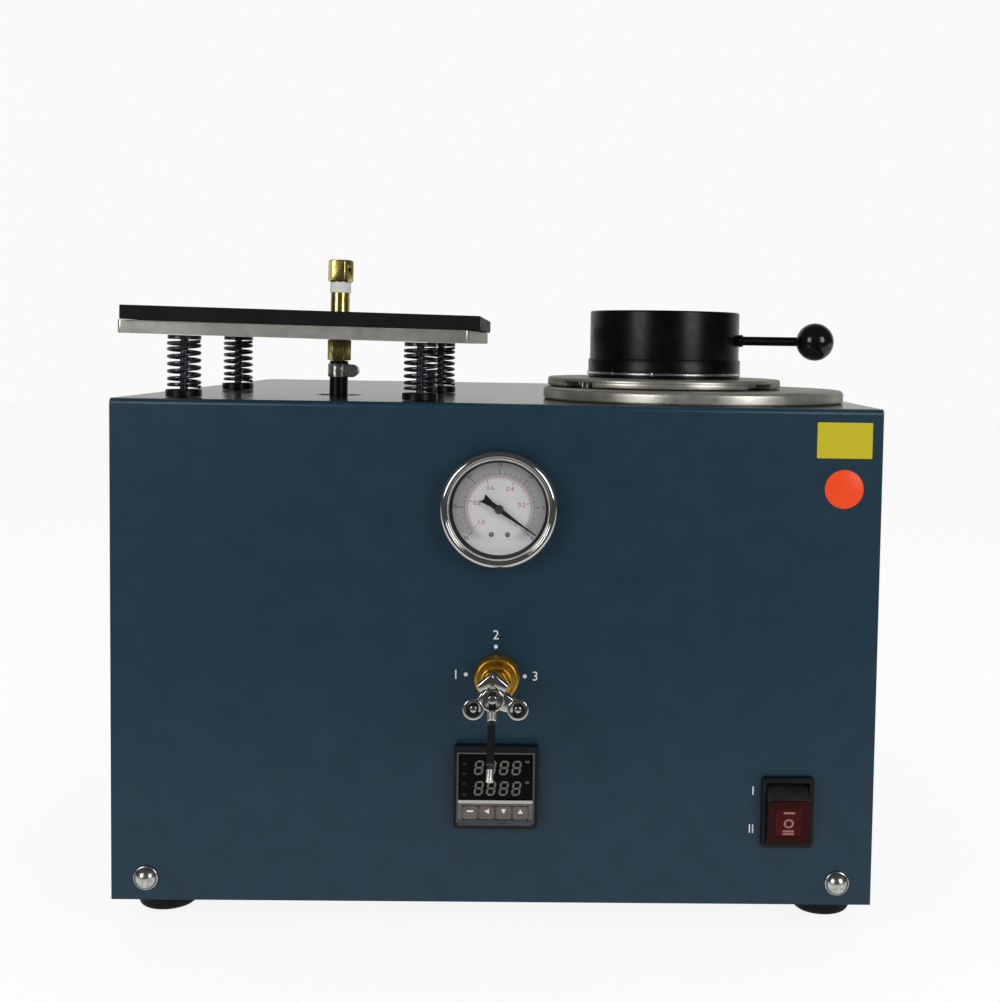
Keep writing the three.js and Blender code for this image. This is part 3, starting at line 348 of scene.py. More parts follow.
def satin_aluminium(name, centre=None, dark="#b4b3a8", light="#d6d5ca", low=0.26):
    # Turned or sawn aluminium: a soft sheen with tool lines, round the centre of a turned piece
    pitch = 0.35 * MM
    made, tree, shader, at = material(name, metal(0.32, 0.88) | {"Specular Tint": linear("#a0a09c")})
    if centre is None:
        lined = add(tree, "Mapping", {"Vector": at, "Scale": (8, 8, 1 / pitch)}).outputs["Vector"]
        tool = add(tree, "TexNoise", {"Vector": lined, "Scale": 1.0, "Detail": 3.0}).outputs["Fac"]
    else:
        about = add(tree, "Mapping", {"Vector": at, "Location": [-c * MM for c in centre]})
        tool = add(tree, "TexWave", {"Vector": about.outputs["Vector"], "Scale": 1 / pitch / 20,
                                     "Distortion": 1.5, "Detail": 2.0, "Detail Scale": 2.0},
                   wave_type="RINGS", rings_direction="Z").outputs["Fac"]
    two_tone(tree, shader, grain(tree, at, 25, 5), dark, light, 0.3, 0.7)
    vary_gloss(tree, shader, grain(tree, at, 6, 4), low, 0.4)
    raise_surface(tree, shader, tool, 0.012)
    return made


def polished_chrome(name, code, rough=0.09):
    # Bright plating: near a mirror, with a faint ripple of the polishing wheel
    made, tree, shader, at = material(name, metal(rough) | {"Base Color": linear(code)})
    raise_surface(tree, shader, grain(tree, at, 5, 1), 0.02)
    return made


def machined_brass(name, dark, light, rough=0.2):
    # Machined brass: warm and bright, with fine cutting marks and a dull film in places
    return skin(name, metal(rough), (5, 3), (dark, light), (0.5, 2, 0.0015),
                (0.5, 2, rough - 0.04, rough + 0.06))


def moulded_plastic(name, dark, light, rough=0.45, grain_mm=0.5, level=0.3):
    # Injection-moulded plastic with a fine spark-eroded skin
    return skin(name, coat(rough, 1.46, level), (6, 3), (dark, light), (grain_mm, 1, 0.012),
                (grain_mm, 1, rough - 0.06, rough + 0.08))


def tinted_rocker(name, dark, light):
    # Translucent red polycarbonate over a dark well: deep red, half gloss
    return skin(name, coat(0.3, 1.58, 0.06), (8, 2), (dark, light), (2, 1, 0.01))


def printed(name, code, rough=0.5):
    # Screen ink: an opaque film, a little uneven
    made, tree, shader, at = material(name, coat(rough, 1.5, 0.3))
    tone = linear(code)
    ramp = add(tree, "ValToRGB", {"Fac": grain(tree, at, 1.5, 2)})
    ramp.color_ramp.elements[0].color = [c * 0.9 for c in tone[:3]] + [1]
    ramp.color_ramp.elements[1].color = tone
    tree.links.new(ramp.outputs["Color"], shader.inputs["Base Color"])
    return made


def silvered_dial():
    # Painted aluminium dial, silver-white all over; the greyer band outside the scale, at its top and
    # sides, is painted shade of the bezel
    made, tree, shader, at = material("dial_with_painted_bezel_shade", {"Roughness": 0.45, "Specular IOR Level": 0.4})
    centred = add(tree, "Mapping", {"Vector": at, "Location": (-COLUMN_X * MM, 0, -GAUGE_Z * MM)})
    apart = add(tree, "SeparateXYZ", {"Vector": centred.outputs["Vector"]}).outputs
    flat = add(tree, "CombineXYZ", {"X": apart["X"], "Z": apart["Z"]}).outputs["Vector"]
    radius = add(tree, "VectorMath", {0: flat}, operation="LENGTH").outputs["Value"]
    # Painted shade of the bezel: grey towards the dial's edge, except low down
    out, up = remap(tree, radius, 0.0165, 0.0205), remap(tree, apart["Z"], -0.019, -0.013)
    band = add(tree, "Math", {0: out, 1: up}, operation="MULTIPLY").outputs["Value"]
    two_tone(tree, shader, band, "#ffffff", "#c6c5c8", 0.0, 1.0)
    raise_surface(tree, shader, grain(tree, at, 0.7, 2), 0.005)
    return made


def float_glass():
    # Thin clear gauge glass
    made, tree, shader, at = material("float_glass", {
        "Base Color": linear("#ffffff"), "Roughness": 0.0, "IOR": 1.45, "Transmission Weight": 1.0})
    raise_surface(tree, shader, grain(tree, at, 30, 1), 0.01)
    return made


def fired_clay(name, dark, light, grain_mm=1.5):
    # Cast refractory: chalky, pitted, quite matt
    return skin(name, {"Roughness": 0.92}, (7, 5), (dark, light), (grain_mm, 4, 0.15))


def varnished_copper():
    # Varnished copper winding: layers of wire 1 mm apart under amber varnish
    made, tree, shader, at = material("varnished_copper", metal(0.35, 0.7))
    layers = add(tree, "TexWave", {"Vector": at, "Scale": 50.0, "Distortion": 0.3},
                 wave_type="BANDS", bands_direction="Z").outputs["Fac"]
    two_tone(tree, shader, layers, "#5e361d", "#9a5f36", 0.2, 0.8)
    raise_surface(tree, shader, layers, 0.3)
    return made


# Baked powder paint: a fine orange peel of 0.8 mm, half matt, slate blue with a faint mottle
blue = skin("powder_coated_steel", coat(0.36, 1.5, 0.4), (18, 4), ("#102f3f", "#143343"),
            (0.8, 2, 0.05), (0.8, 2, 0.31, 0.42))
stainless = rolled_stainless()
plate_alu = satin_aluminium("sawn_aluminium", None, "#bdbcb2", "#dedcd4", 0.28)
flange_alu = satin_aluminium("turned_aluminium_flange", (FLANGE.x, FLANGE.y, FLANGE.z))
swivel_alu = satin_aluminium("turned_aluminium_plate", (POT.x, POT.y, FLANGE.z), "#b0afa4", "#d2d1c6")
chrome = polished_chrome("bright_chrome", "#d9d9d4")
dark_chrome = polished_chrome("black_chrome", "#77766f")
nickel = polished_chrome("satin_nickel", "#f1efe6", 0.34)
brass = machined_brass("machined_brass", "#cfb768", "#e6d68a")
amber_brass = machined_brass("lacquered_brass", "#c08a2c", "#dcab42", 0.34)
# Black rubber sheet: dull, with a fine matt skin of 0.6 mm and dusty patches
rubber = skin("moulded_rubber", coat(0.62, 1.52, 0.2), (30, 5), ("#0b0c0c", "#111212"),
              (0.6, 2, 0.03), (9, 3, 0.52, 0.72))
# Smooth extruded hose: black with a low sheen along its length
hose = skin("hose_rubber", coat(0.34, 1.52, 0.25), (8, 3), ("#050505", "#090909"), (1.2, 2, 0.02))
# Oil-blacked spring steel: dark, thinly oxidised, catching light along the wire
black_steel = skin("blacked_steel", metal(0.2, 0.85), (3, 3), ("#42454a", "#676b71"), (0.5, 2, 0.01))
# Heat-proof black enamel on turned steel: deep black, half gloss, faintly scuffed
enamel = skin("stove_enamel", coat(0.28, 1.5, 0.22), (12, 5), ("#020202", "#060606"),
              (0.9, 2, 0.015), (4, 5, 0.24, 0.34))
black_abs = moulded_plastic("black_abs", "#07090a", "#0c0f11")
hub_grey = moulded_plastic("dark_grey_hub", "#343437", "#3e3e42")
cup_nylon = moulded_plastic("black_nylon", "#060607", "#0b0b0c", 0.3)
key_silicone = moulded_plastic("grey_key_silicone", "#5a5551", "#645f5b", 0.55)
key_band = moulded_plastic("grey_blue_band", "#363a42", "#40444c", 0.4)
smoked_window = moulded_plastic("smoked_acrylic", "#010202", "#020303", 0.12, 4, 0.1)
# Polished black phenolic: a wet-looking ball that shows the lamps as small soft spots
phenolic = skin("polished_phenolic", coat(0.16, 1.6, 0.4), (10, 2), ("#070808", "#0c0d0d"),
                (6, 1, 0.01))
rocker_red = tinted_rocker("tinted_polycarbonate", "#280b09", "#300d0b")
# The lens's middle in a lighter red: painted light, the glow of light through the lens from behind
rocker_lit_middle = tinted_rocker("tinted_polycarbonate_lit_middle", "#3c0f0e", "#461312")
rocker_dark = moulded_plastic("dark_grey_polycarbonate", "#1f1f1e", "#272726", 0.35)
white_ink = printed("white_ink", "#d6dada")
silver_ink = printed("silver_ink", "#abaca6")
grey_ink = printed("grey_segment", "#605e59")
line_grey = printed("line_grey", "#4a4f4e")
faint_ink = printed("faint_segment", "#1c1c1d")
red_ink = printed("red_ink", "#cc6872")
pale_red = printed("pale_red_ink", "#9c6864")
black_ink = printed("black_ink", "#1c1c20")
yellow_film = printed("yellow_vinyl", "#bdb01c", 0.35)
orange_film = printed("orange_vinyl", "#ec4710", 0.35)
# Dial paint, with the bezel's shade painted round its edge
dial_paint_and_shade = silvered_dial()
glass = float_glass()
tape_white = printed("thread_tape", "#eeeeea", 0.6)
silicone = moulded_plastic("red_silicone", "#a5512c", "#b35c33", 0.6)
refractory = fired_clay("cast_refractory", "#c9c1b2", "#ded7c8")
ceramic = fired_clay("fired_ceramic", "#b3a896", "#c5bba9", 0.8)
# Graphite: dark grey with a soft metallic rub and fine turning marks
graphite = skin("machined_graphite", metal(0.5, 0.35), (4, 4), ("#262628", "#37373a"), (0.6, 3, 0.03))
# Sand-cast pump body under grey machine paint
casting_paint = skin("painted_casting", {"Roughness": 0.5}, (15, 4), ("#62676b", "#737a7e"),
                     (1.8, 4, 0.15))
winding = varnished_copper()
# Zinc-plated steel: bluish white metal with a fine spangle of 2 mm
zinc = skin("zinc_plate", metal(0.24), (2, 2), ("#b4b4ae", "#dcdcd6"), (0.6, 2, 0.01))

# Cabinet

dressed(("front_panel", 0.25, "panel_sheet", "cabinet", blue, "blue_paint"),
        ("cabinet_wrap", 0.12, "wrap_sheet", "cabinet", blue, "blue_paint"),
        ("top_plate", 0.2, "deck_sheet", "cabinet", stainless, "stainless"),
        ("base_plate", 0.2, "floor_sheet", "cabinet", zinc, "zinc_steel"))


def foot():
    """A turned rubber foot with a round tread, a fine groove and a recess for its screw."""
    profile = [(0, 5), (6, 5), (6, 0.6)] + bow(6.6, 0.6, 0.6, 180, 270, 3) + bow(13.7, 3.5, 3.5, -90, 0)
    profile += [(17.2, 11.6), (16.9, 11.9), (16.9, 12.4), (17.2, 12.7), (17.2, 16.2), (15.7, 17.7),
                (0, 17.7)]
    return lathe(profile, 64)


CORNERS = (("front_left", -1, -1), ("front_right", 1, -1), ("rear_left", -1, 1), ("rear_right", 1, 1))
for corner, _, _ in CORNERS:
    node = "foot_" + corner
    at = middle_mm(node)
    finished(foot(), "rubber_" + node, "cabinet", rubber, node, slot="black_rubber",
             at=moved(at.x, at.y, 0))


def dome_screw():
    """A screw with a dome that nearly covers its washer."""
    edge, dome, seat = 6.5, 4.2, 1.4
    radius = (edge ** 2 + dome ** 2) / (2 * dome)
    half = math.degrees(math.asin(edge / radius))
    profile = [(0, -9), (2.5, -9), (2.5, 0.3), (6.8, 0.3), (7, 0.5), (7, 1.1), (6.8, 1.3), (edge, seat)]
    return lathe(profile + bow(0, seat + dome - radius, radius, 90 - half, 90, 12)[1:], 64)


for side in ("left", "right"):
    node = "panel_screw_" + side
    at = middle_mm(node)
    finished(dome_screw(), "dome_" + node, "cabinet", zinc, node, slot="chrome",
             at=on_front(at.x, at.z))

# Blank labels, where the real ones carry marks
YELLOW_X, YELLOW_UP, ORANGE_X, ORANGE_UP = 197.9, 271.5, 198.2, 243.5
fitted(on_front(YELLOW_X, UNDERSIDE + YELLOW_UP), "cabinet",
       (soften(slab(31.8, 20.6, 0.02, 0.16, 0.6, 3), 0.03), "yellow_label", yellow_film))
fitted(on_front(ORANGE_X, UNDERSIDE + ORANGE_UP), "cabinet",
       (lathe([(0, 0.02), (11.15, 0.02), (11.15, 0.13), (11.1, 0.16), (0, 0.16)], 64),
        "orange_label", orange_film))

# Vacuum gauge

GAUGE_AT = on_front(COLUMN_X, GAUGE_Z)


def gauge_case():
    return lathe([
        (0, -26), (2.5, -26), (2.5, -40), (6.5, -40), (6.5, -26), (30, -26), (30.6, -25.4), (30.6, 0.3),
        (33.3, 0.3), (33.3, 3.4), (29, 3.4), (29, 2.2), (26.6, 2.2), (26.6, -24.4), (0, -24.4),
    ])


def gauge_bezel():
    """The crimped ring: a full round outside and a small bead inside."""
    profile = [(31.5, 3.7), (33.2, 3.7), (33.3, 3.9), (33.3, 9.4)]
    profile += bow(30.6, 9.9, 2.7, 0, 80, 8) + [(30.2, 12.5)]
    profile += bow(29.6, 11.3, 1.1, 70, 150, 4) + [(28.0, 10.6), (28.0, 10.3), (31.5, 10.3)]
    return lathe(profile, 128, closed=True)


INK_TOP = 3.46


def mark(angle, inner, outer, width):
    """One line of a scale, a thin bar that points at the middle."""
    bar = slab(outer - inner, width, INK_TOP - 0.03, INK_TOP + 0.03)
    return place(bar, turned(angle, "Z") @ moved((outer + inner) / 2, 0, 0))


def scale_arc(inner, outer, start, end):
    """A thin printed line that follows the scale."""
    bm = bmesh.new()
    first, last = [bm.verts.new((r, 0, INK_TOP - 0.01)) for r in (inner, outer)]
    edge = bm.edges.new((first, last))
    place(bm, turned(start, "Z"))
    bmesh.ops.spin(bm, geom=[first, last, edge], cent=ORIGIN, axis=UPWARD, dvec=ORIGIN, steps=96,
                   angle=math.radians(end - start), use_merge=False, use_duplicate=False)
    bmesh.ops.recalc_face_normals(bm, faces=bm.faces)
    bmesh.ops.solidify(bm, geom=list(bm.faces), thickness=0.05)
    return bm


def lettered(text, size, matrix):
    """Plain figures as a thin mesh, in the local plane of a matrix."""
    curve = bpy.data.curves.new("figures", "FONT")
    curve.body = text
    curve.size = size
    curve.align_x = curve.align_y = "CENTER"
    curve.extrude = 0.03
    curve.resolution_u = 3
    holder = bpy.data.objects.new("figures", curve)
    bpy.context.scene.collection.objects.link(holder)
    bpy.context.view_layer.update()
    flat = bpy.data.meshes.new_from_object(holder)
    bpy.data.objects.remove(holder)
    bpy.data.curves.remove(curve)
    bm = bmesh.new()
    bm.from_mesh(flat)
    bpy.data.meshes.remove(flat)
    return place(bm, matrix)


def dial_figure(text, angle, radius, size):
    spot = turned(angle, "Z") @ Vector((radius, 0, INK_TOP))
    return lettered(text, size, moved(*spot))


# The scale's ends and the pointer, as angles on the dial; thirty inches are a little more than one bar
ZERO, FULL, POINTER = -41.5, 217.5, -35
TENTH, INCH = (FULL - ZERO) / 50, (FULL - ZERO) / 29.53
red_marks = [mark(ZERO + TENTH * i, 15.6 if i % 10 == 0 else 16.8 if i % 5 == 0 else 17.4, 18.6,
                  0.34 if i % 10 == 0 else 0.2) for i in range(51)]
red_figures = [dial_figure(f"{i / 50:.1f}" if i else "0", ZERO + TENTH * i, 12.9, 3.6)
               for i in range(0, 51, 10)]
black_marks = [mark(ZERO + INCH * i, 19.9, 21.4 if i % 5 else 23.2, 0.18 if i % 5 else 0.34)
               for i in range(31)]
black_figures = [dial_figure(str(i), ZERO + INCH * i, 25.3, 3.0) for i in range(0, 31, 5)]
screws = [place(lathe([(0, 3.4), (1.5, 3.4), (1.5, 3.8), (1.2, 4.1), (0, 4.1)], 24),
                moved(x, -14.8, 0)) for x in (-4.3, 4.9)]
fitted(GAUGE_AT, "cabinet",
       (gauge_case(), "gauge_shell", black_steel, "gauge_case", "black_steel"),
       (lathe([(1.6, 2.5), (28.7, 2.5), (28.7, 3.4), (1.6, 3.4)], 96, closed=True), "dial_disc",
        dial_paint_and_shade, "gauge_dial", "dial_white"),
       # A black ring inside the bezel, standing in for the shade that the bezel casts round the dial's
       # edge
       (lathe([(26.5, 3.5), (28.6, 3.5), (29.4, 8.2), (28.4, 8.2)], 96, closed=True), "dial_seal",
        hose),
       (lathe([(0, 8.4), (31.2, 8.4), (31.2, 9.7), (30.9, 10), (0, 10)], 96), "gauge_glass", glass,
        "gauge_lens", "clear_glass"),
       (gauge_bezel(), "crimped_bezel", chrome, "gauge_bezel", "chrome"),
       (gather(scale_arc(18.5, 18.75, ZERO, FULL), *red_marks, *red_figures), "red_scale", red_ink),
       (gather(scale_arc(19.7, 19.9, ZERO, ZERO + INCH * 30), *black_marks, *black_figures),
        "black_scale", black_ink),
       (gather(*screws), "dial_screws", zinc))


def pointer_needle():
    """A tapered needle with a flared, notched tail, on its hub and pin."""
    half = [(25.6, 0.3), (14, 0.6), (5.5, 1.15), (0, 1.5), (-5, 1.5), (-11.4, 2.6)]
    arm = cutout(half + [(-10.2, 0)] + [(x, -y) for x, y in reversed(half)], 6.2, 6.9)
    hub = lathe([(0, 5.8), (2.4, 5.8), (2.6, 6), (2.6, 7.2), (2.2, 7.6), (0, 7.6)], 32)
    pin = lathe([(0, 1.6), (1.1, 1.6), (1.1, 6.2), (0, 6.2)], 16)
    return gather(soften(arm, 0.12, 40, 1), painted(hub, 1), pin)


finished(pointer_needle(), "flared_pointer", "pointer", [black_abs, hub_grey], "gauge_pointer",
         slot="black_steel", at=GAUGE_AT @ turned(POINTER, "Z"))

# Three-way valve

VALVE_AT = on_front(COLUMN_X, VALVE_Z)


def hex_bar(flats, low, high, chamfer):
    bm = lathe([(0, low), (flats / math.sqrt(3), low), (flats / math.sqrt(3), high), (0, high)], 6)
    return soften(bm, chamfer, 35, 3)


def valve_body():
    """A barrel with ports to both sides and upwards, a stepped bonnet, a gland and a spindle."""
    core = [(0, -44), (12.4, -44), (13, -43.4), (13, -1.8), (9.2, -1.8), (9.2, 0.3), (12.5, 0.3)]
    core += [(12.85, 0.7), (12.85, 8.2), (12.3, 8.8), (12.3, 9.6), (12.7, 10.1)]
    core += bow(10.9, 11.2, 1.8, 0, 90, 6)
    core += [(9.8, 13), (9.4, 13.4)] + bow(7.9, 16.5, 1.5, 0, 90, 5)
    core += [(3.6, 18), (3.6, 46.7), (0, 46.7)]
    middle = moved(0, 0, -27.5)
    side_ports = place(lathe([(0, -26), (7, -26), (7.6, -25.4), (7.6, 25.4), (7, 26), (0, 26)], 48),
                       middle @ turned(90, "Y"))
    up_port = place(lathe([(0, 0), (7.6, 0), (7.6, 25.4), (7, 26), (0, 26)], 48),
                    middle @ turned(-90, "X"))
    return gather(lathe(core, 96), hex_bar(15.2, 13, 26, 0.7), side_ports, up_port)


def screw_eye(radius, screw, groove, deep, low, high):
    """A round boss with a sunk ring about its round screw."""
    wall, head = screw + groove, high - deep * 0.45
    profile = [(0, low), (radius - 0.4, low), (radius, low + 0.4), (radius, high - 0.8)]
    profile += bow(radius - 0.8, high - 0.8, 0.8, 0, 90, 4) + [(wall + 0.2, high), (wall, high - 0.2)]
    profile += [(wall, high - deep), (screw, high - deep), (screw, head)]
    profile += bow(screw - 0.5, head, 0.5, 0, 90, 3) + [(0, head + 0.6)]
    bm = lathe(profile, 48)
    # The sunk ring takes the dark material: painted shade in the recess
    for face in bm.faces:
        spot = face.calc_center_median()
        if screw - 0.1 < math.hypot(spot.x, spot.y) < wall + 0.05 and spot.z < high - 0.1:
            face.material_index = 1
    return bm


HANDLE_LOW, HANDLE_TOP, EAR_THICK, WING_IN = 47, 59, 11, 1.8
EARS = ((-1, 10.1), (1, 13.7))


def winged_handle():
    """A hub with a gabled top and two wings that end in eyes."""
    hub = screw_eye(6.5, 2.5, 2.7, 3.4, HANDLE_LOW, HANDLE_TOP)
    gable = cutout([(0, 14.8), (8.6, 7.6), (6.8, 4.0), (0, 7.6), (-6.8, 4.0), (-8.6, 7.6)],
                   HANDLE_TOP - 7, HANDLE_TOP - 1)
    ridge = cutout([(0, 13.8), (1.8, 5.1), (-1.8, 5.1)], HANDLE_LOW + 3.6, HANDLE_TOP - 0.5)
    parts = [hub, soften(gable, 0.7, 30, 3), soften(ridge, 0.4, 30, 2)]
    ear_low = HANDLE_TOP - EAR_THICK
    for side, ear in EARS:
        half = [(1.8, 5.2), (6.4, 3.6), (ear - 1.8, -0.05), (ear - 2.7, -7.75), (5.2, -6.2), (1.8, -5.2)]
        wing = cutout([(side * x, y) for x, y in half], ear_low + WING_IN, HANDLE_TOP - WING_IN)
        eye = screw_eye(5.8, 1.9, 2.1, 2.6, ear_low, HANDLE_TOP)
        parts += [soften(wing, 0.8, 30, 3), place(eye, moved(side * ear, -5, 0))]
    return gather(*parts)


def lever_rod():
    """The turned lever: a bright collar, a blacked neck, a dark rod, a blacked ring, a bright tip."""
    parts = []
    for surface, profile in (
            (0, [(0, 7.2), (2.1, 7.2), (2.5, 7.6), (2.5, 11.8), (2.1, 12.2), (0, 12.2)]),
            (1, [(0, 12.2), (1.7, 12.2), (1.9, 12.5), (1.9, 14.7), (0, 14.7)]),
            (2, [(0, 14.7), (1.9, 14.7), (2.1, 14.9), (2.1, 35.6), (1.9, 35.8), (0, 35.8)]),
            (1, [(0, 35.8), (1.7, 35.8), (1.7, 38.2), (0, 38.2)]),
            (0, [(0, 38.2), (1.8, 38.2), (2, 38.4), (2, 43.9)] + bow(1, 43.9, 1, 0, 90, 5)
             + [(0, 44.9)])):
        parts.append(painted(lathe(profile, 32), surface))
    return gather(*parts)


LEVER_OUT, LEVER_DROOP = 56, 33
finished(valve_body(), "valve_barrel", "cabinet", amber_brass, "valve_body", slot="amber_brass",
         at=VALVE_AT)
finished(winged_handle(), "winged_handle", "valve_lever", [chrome, black_steel], "valve_handle",
         slot="chrome", at=VALVE_AT)
finished(lever_rod(), "lever_rod", "valve_lever", [nickel, black_steel, dark_chrome], "valve_lever",
         slot="chrome", at=VALVE_AT @ moved(0, 0, LEVER_OUT) @ turned(90 - LEVER_DROOP, "X"))


def ink_dot(x, y):
    return place(lathe([(0, 0.01), (1.15, 0.01), (1.15, 0.06), (0, 0.06)], 24), moved(x, y, 0))


FIGURE = 7.6
fitted(VALVE_AT @ moved(-0.7, -1.1, 0), "cabinet",
       (gather(ink_dot(-0.4, 17.6), ink_dot(-17.4, 1.3), ink_dot(16.4, 0.5)), "valve_dots", white_ink),
       (gather(lettered("2", FIGURE, moved(-0.4, 24.2, 0.04)),
               lettered("1", FIGURE, moved(-23.2, 0.9, 0.04)),
               lettered("3", FIGURE, moved(22.4, 0.4, 0.04))), "valve_figures", white_ink))

# Temperature controller

CONTROLLER_AT = on_front(COLUMN_X, CONTROLLER_Z)

dressed(("controller_body", 0.3, "controller_housing", "cabinet", black_abs, "black_plastic"),
        ("controller_window", 0.2, "controller_glass", "cabinet", smoked_window, "gloss_black"))


def segment(x, y, length, upright):
    """One bar of a figure, pointed at both ends."""
    end, half = length / 2, 0.55
    bm = cutout([(-end, 0), (half - end, half), (end - half, half), (end, 0), (end - half, -half),
                 (half - end, -half)], 0, 0.04)
    return place(bm, moved(x, y, 0) @ turned(90 if upright else 0, "Z"))


def digit(x, y, width, height):
    """A seven-bar figure, all its bars unlit, leaning a little."""
    bars = [segment(0, side * height / 2, width - 0.3, False) for side in (-1, 0, 1)]
    bars += [segment(sx * width / 2, sy * height / 4, height / 2 - 0.3, True)
             for sx in (-1, 1) for sy in (-1, 1)]
    lean = Matrix.Identity(4)
    lean[0][1] = 0.14
    return place(gather(*bars), moved(x, y, 0) @ lean)


ON_GLASS = CONTROLLER_AT @ moved(0, 0, FRONT - corners_mm("controller_window")[0].y + 0.02)
DIGIT_ROWS, DIGIT_COLUMNS = (10.4, -1.6), (-8.8, -1.7, 5.5, 12.7)
LEFT_LAMPS, RIGHT_LAMPS = (13.6, 7.8, 2.0, -4.4), (15.0, 3.0)
finished(gather(*[digit(x, y, 4.0, 7.3) for y in DIGIT_ROWS for x in DIGIT_COLUMNS]), "unlit_digits",
         "cabinet", grey_ink, at=ON_GLASS @ moved(-0.8, 1, 0))
finished(gather(*[painted(place(slab(2.4, 1.3, 0, 0.04, 0.3, 2), moved(x, y, 0)), index)
                  for index, x, column in ((0, -18, LEFT_LAMPS), (1, 18, RIGHT_LAMPS)) for y in column]),
         "unlit_lamps", "cabinet", [faint_ink, line_grey], at=ON_GLASS)

FIELD_LOW, FIELD_HALF = 7, 21.3


def raised(width, depth, x, y, thick=0.3):
    """A low bar on the controller's face."""
    return place(slab(width, depth, FIELD_LOW, FIELD_LOW + thick), moved(x, y, 0))


fitted(CONTROLLER_AT, "cabinet",
       (gather(raised(44.4, 0.8, 0, 19.9, 0.12), raised(0.8, 40.4, -21.8, -0.7, 0.12),
               raised(0.8, 40.4, 21.8, -0.7, 0.12)), "window_line", line_grey),
       (soften(raised(2 * FIELD_HALF, 1.9, 0, -8.3, 0.25), 0.1), "bright_strip", silver_ink))

KEY_PITCH, KEY_DOWN, KEY_OUT, KEY_HOLE = 9.6, 13.6, 7.5, 4.6
KEY_X = [(i - 1.5) * KEY_PITCH for i in range(4)]
KEY_SIGNS = {
    "set": [(-1.9, -0.5), (1.9, -0.5), (1.9, 0.5), (-1.9, 0.5)],
    "shift": [(-1.5, 0), (1.3, 1.5), (1.3, -1.5)],
    "down": [(0, -1.4), (1.5, 1.3), (-1.5, 1.3)],
    "up": [(0, 1.4), (1.5, -1.3), (-1.5, -1.3)],
}
for x, (name, sign) in zip(KEY_X, KEY_SIGNS.items()):
    node, body = "key_" + name, name + "_key"
    finished(copied(node, 0.3), "cap_of_" + node, body, key_silicone, node, slot="grey_keys")
    finished(cutout(sign, 0.01, 0.05), "sign_of_" + node, body, white_ink,
             at=CONTROLLER_AT @ moved(x, -KEY_DOWN, KEY_OUT))


def key_field():
    """The grey surround of the keys: one bar above them and one in each gap."""
    rows = [raised(2 * FIELD_HALF, 0.9, 0, -9.9)]
    edges = [-FIELD_HALF] + [x + side * KEY_HOLE for x in KEY_X for side in (-1, 1)] + [FIELD_HALF]
    for left, right in zip(edges[::2], edges[1::2]):
        rows.append(raised(right - left, 8.2, (left + right) / 2, -14.4))
    return gather(*rows)


fitted(CONTROLLER_AT, "cabinet", (key_field(), "key_surround", key_silicone),
       (soften(raised(2 * FIELD_HALF, 3.4, 0, -20.4), 0.15), "key_band", key_band))

# Rocker switch

SWITCH_AT = on_front(SWITCH.x, SWITCH.z)
finished(copied("switch_frame", 0.35, 50), "switch_housing", "cabinet", black_abs, "switch_frame",
         slot="black_plastic", smooth=40)

# Heights above the rocker's pivot: the lens's rim, its flat middle and the block under it
TILT, PIVOT_DEEP = math.radians(12), 10.0
RIM, FACE, LENS = 19.5, 18.7, 17.7
ROCKER_HALF = 17.1


def rocker_end(height):
    """Half the rocker's length at a height, so that its end stands upright when pressed in."""
    return (ROCKER_HALF - height * math.sin(TILT)) / math.cos(TILT)


def rocker_block():
    """The dark body of the rocker: a tall wedge under its lens."""
    ends = [(rocker_end(LENS - 0.1), LENS - 0.1), (rocker_end(2.5), 2.5), (8.55, -8)]
    profile = ends + [(-along, out) for along, out in reversed(ends)]
    bm = cutout(profile, -12.2, 12.2)
    place(bm, turned(90, "Y") @ turned(90, "Z"))
    return painted(soften(bm, 0.5, 30, 3), 2)


def rocker_lens():
    """The red lens: a rim with rounded corners that slopes down to a flat middle."""
    bm = slab(24.4, 2 * rocker_end(RIM), LENS, RIM, 2.4, 6)
    top = max(bm.faces, key=lambda face: face.calc_center_median().z)
    grown = bmesh.ops.extrude_face_region(bm, geom=[top])
    inner = [g for g in grown["geom"] if isinstance(g, bmesh.types.BMVert)]
    if top.is_valid:
        bmesh.ops.delete(bm, geom=[top], context="FACES_ONLY")
    bmesh.ops.scale(bm, verts=inner, vec=(0.6, 0.63, 1))
    bmesh.ops.translate(bm, verts=inner, vec=(0, 0, FACE - RIM))
    # The flat middle takes the lighter red, which is painted light from behind the lens
    for face in bm.faces:
        if all(v in inner for v in face.verts):
            face.material_index = 1
    bmesh.ops.recalc_face_normals(bm, faces=bm.faces)
    return soften(bm, 0.35, 50, 2)


ROCKER_AT = SWITCH_AT @ moved(0, 0, -PIVOT_DEEP) @ Matrix.Rotation(TILT, 4, "X")
finished(gather(rocker_lens(), rocker_block()), "rocker_cap", "rocker",
         [rocker_red, rocker_lit_middle, rocker_dark], "switch_rocker", slot="red_plastic", at=ROCKER_AT)


def rocker_marks():
    """One bar, a ring and two bars, for the three positions."""
    ring = place(lathe([(1.8, 0), (2.9, 0), (2.9, 0.05), (1.8, 0.05)], 48, closed=True),
                 moved(0, -0.8, 0))
    bars = [place(slab(6.6, thick, 0, 0.05, 0.3, 2), moved(0, y, 0))
            for y, thick in ((6.0, 1.3), (-5.7, 1.2), (-7.5, 1.2))]
    return gather(ring, *bars)


finished(rocker_marks(), "rocker_marks", "rocker", pale_red, at=ROCKER_AT @ moved(0, 0, FACE + 0.02))
# Plain signs for the two ends of the rocker
SIGN = 7.4
finished(gather(lettered("I", SIGN, on_front(149.9, SWITCH.z + 11.6, 0.04)),
                lettered("II", SIGN, on_front(149.2, SWITCH.z - 10.8, 0.04))),
         "switch_figures", "cabinet", white_ink)

# Vacuum table

SPREAD, TRAVEL = 69, 8
dressed(("table_plate", 0.2, "table_sheet", "table", plate_alu, "aluminium"),
        ("table_pad", 0.5, "pad_sheet", "table", rubber, "black_rubber"))


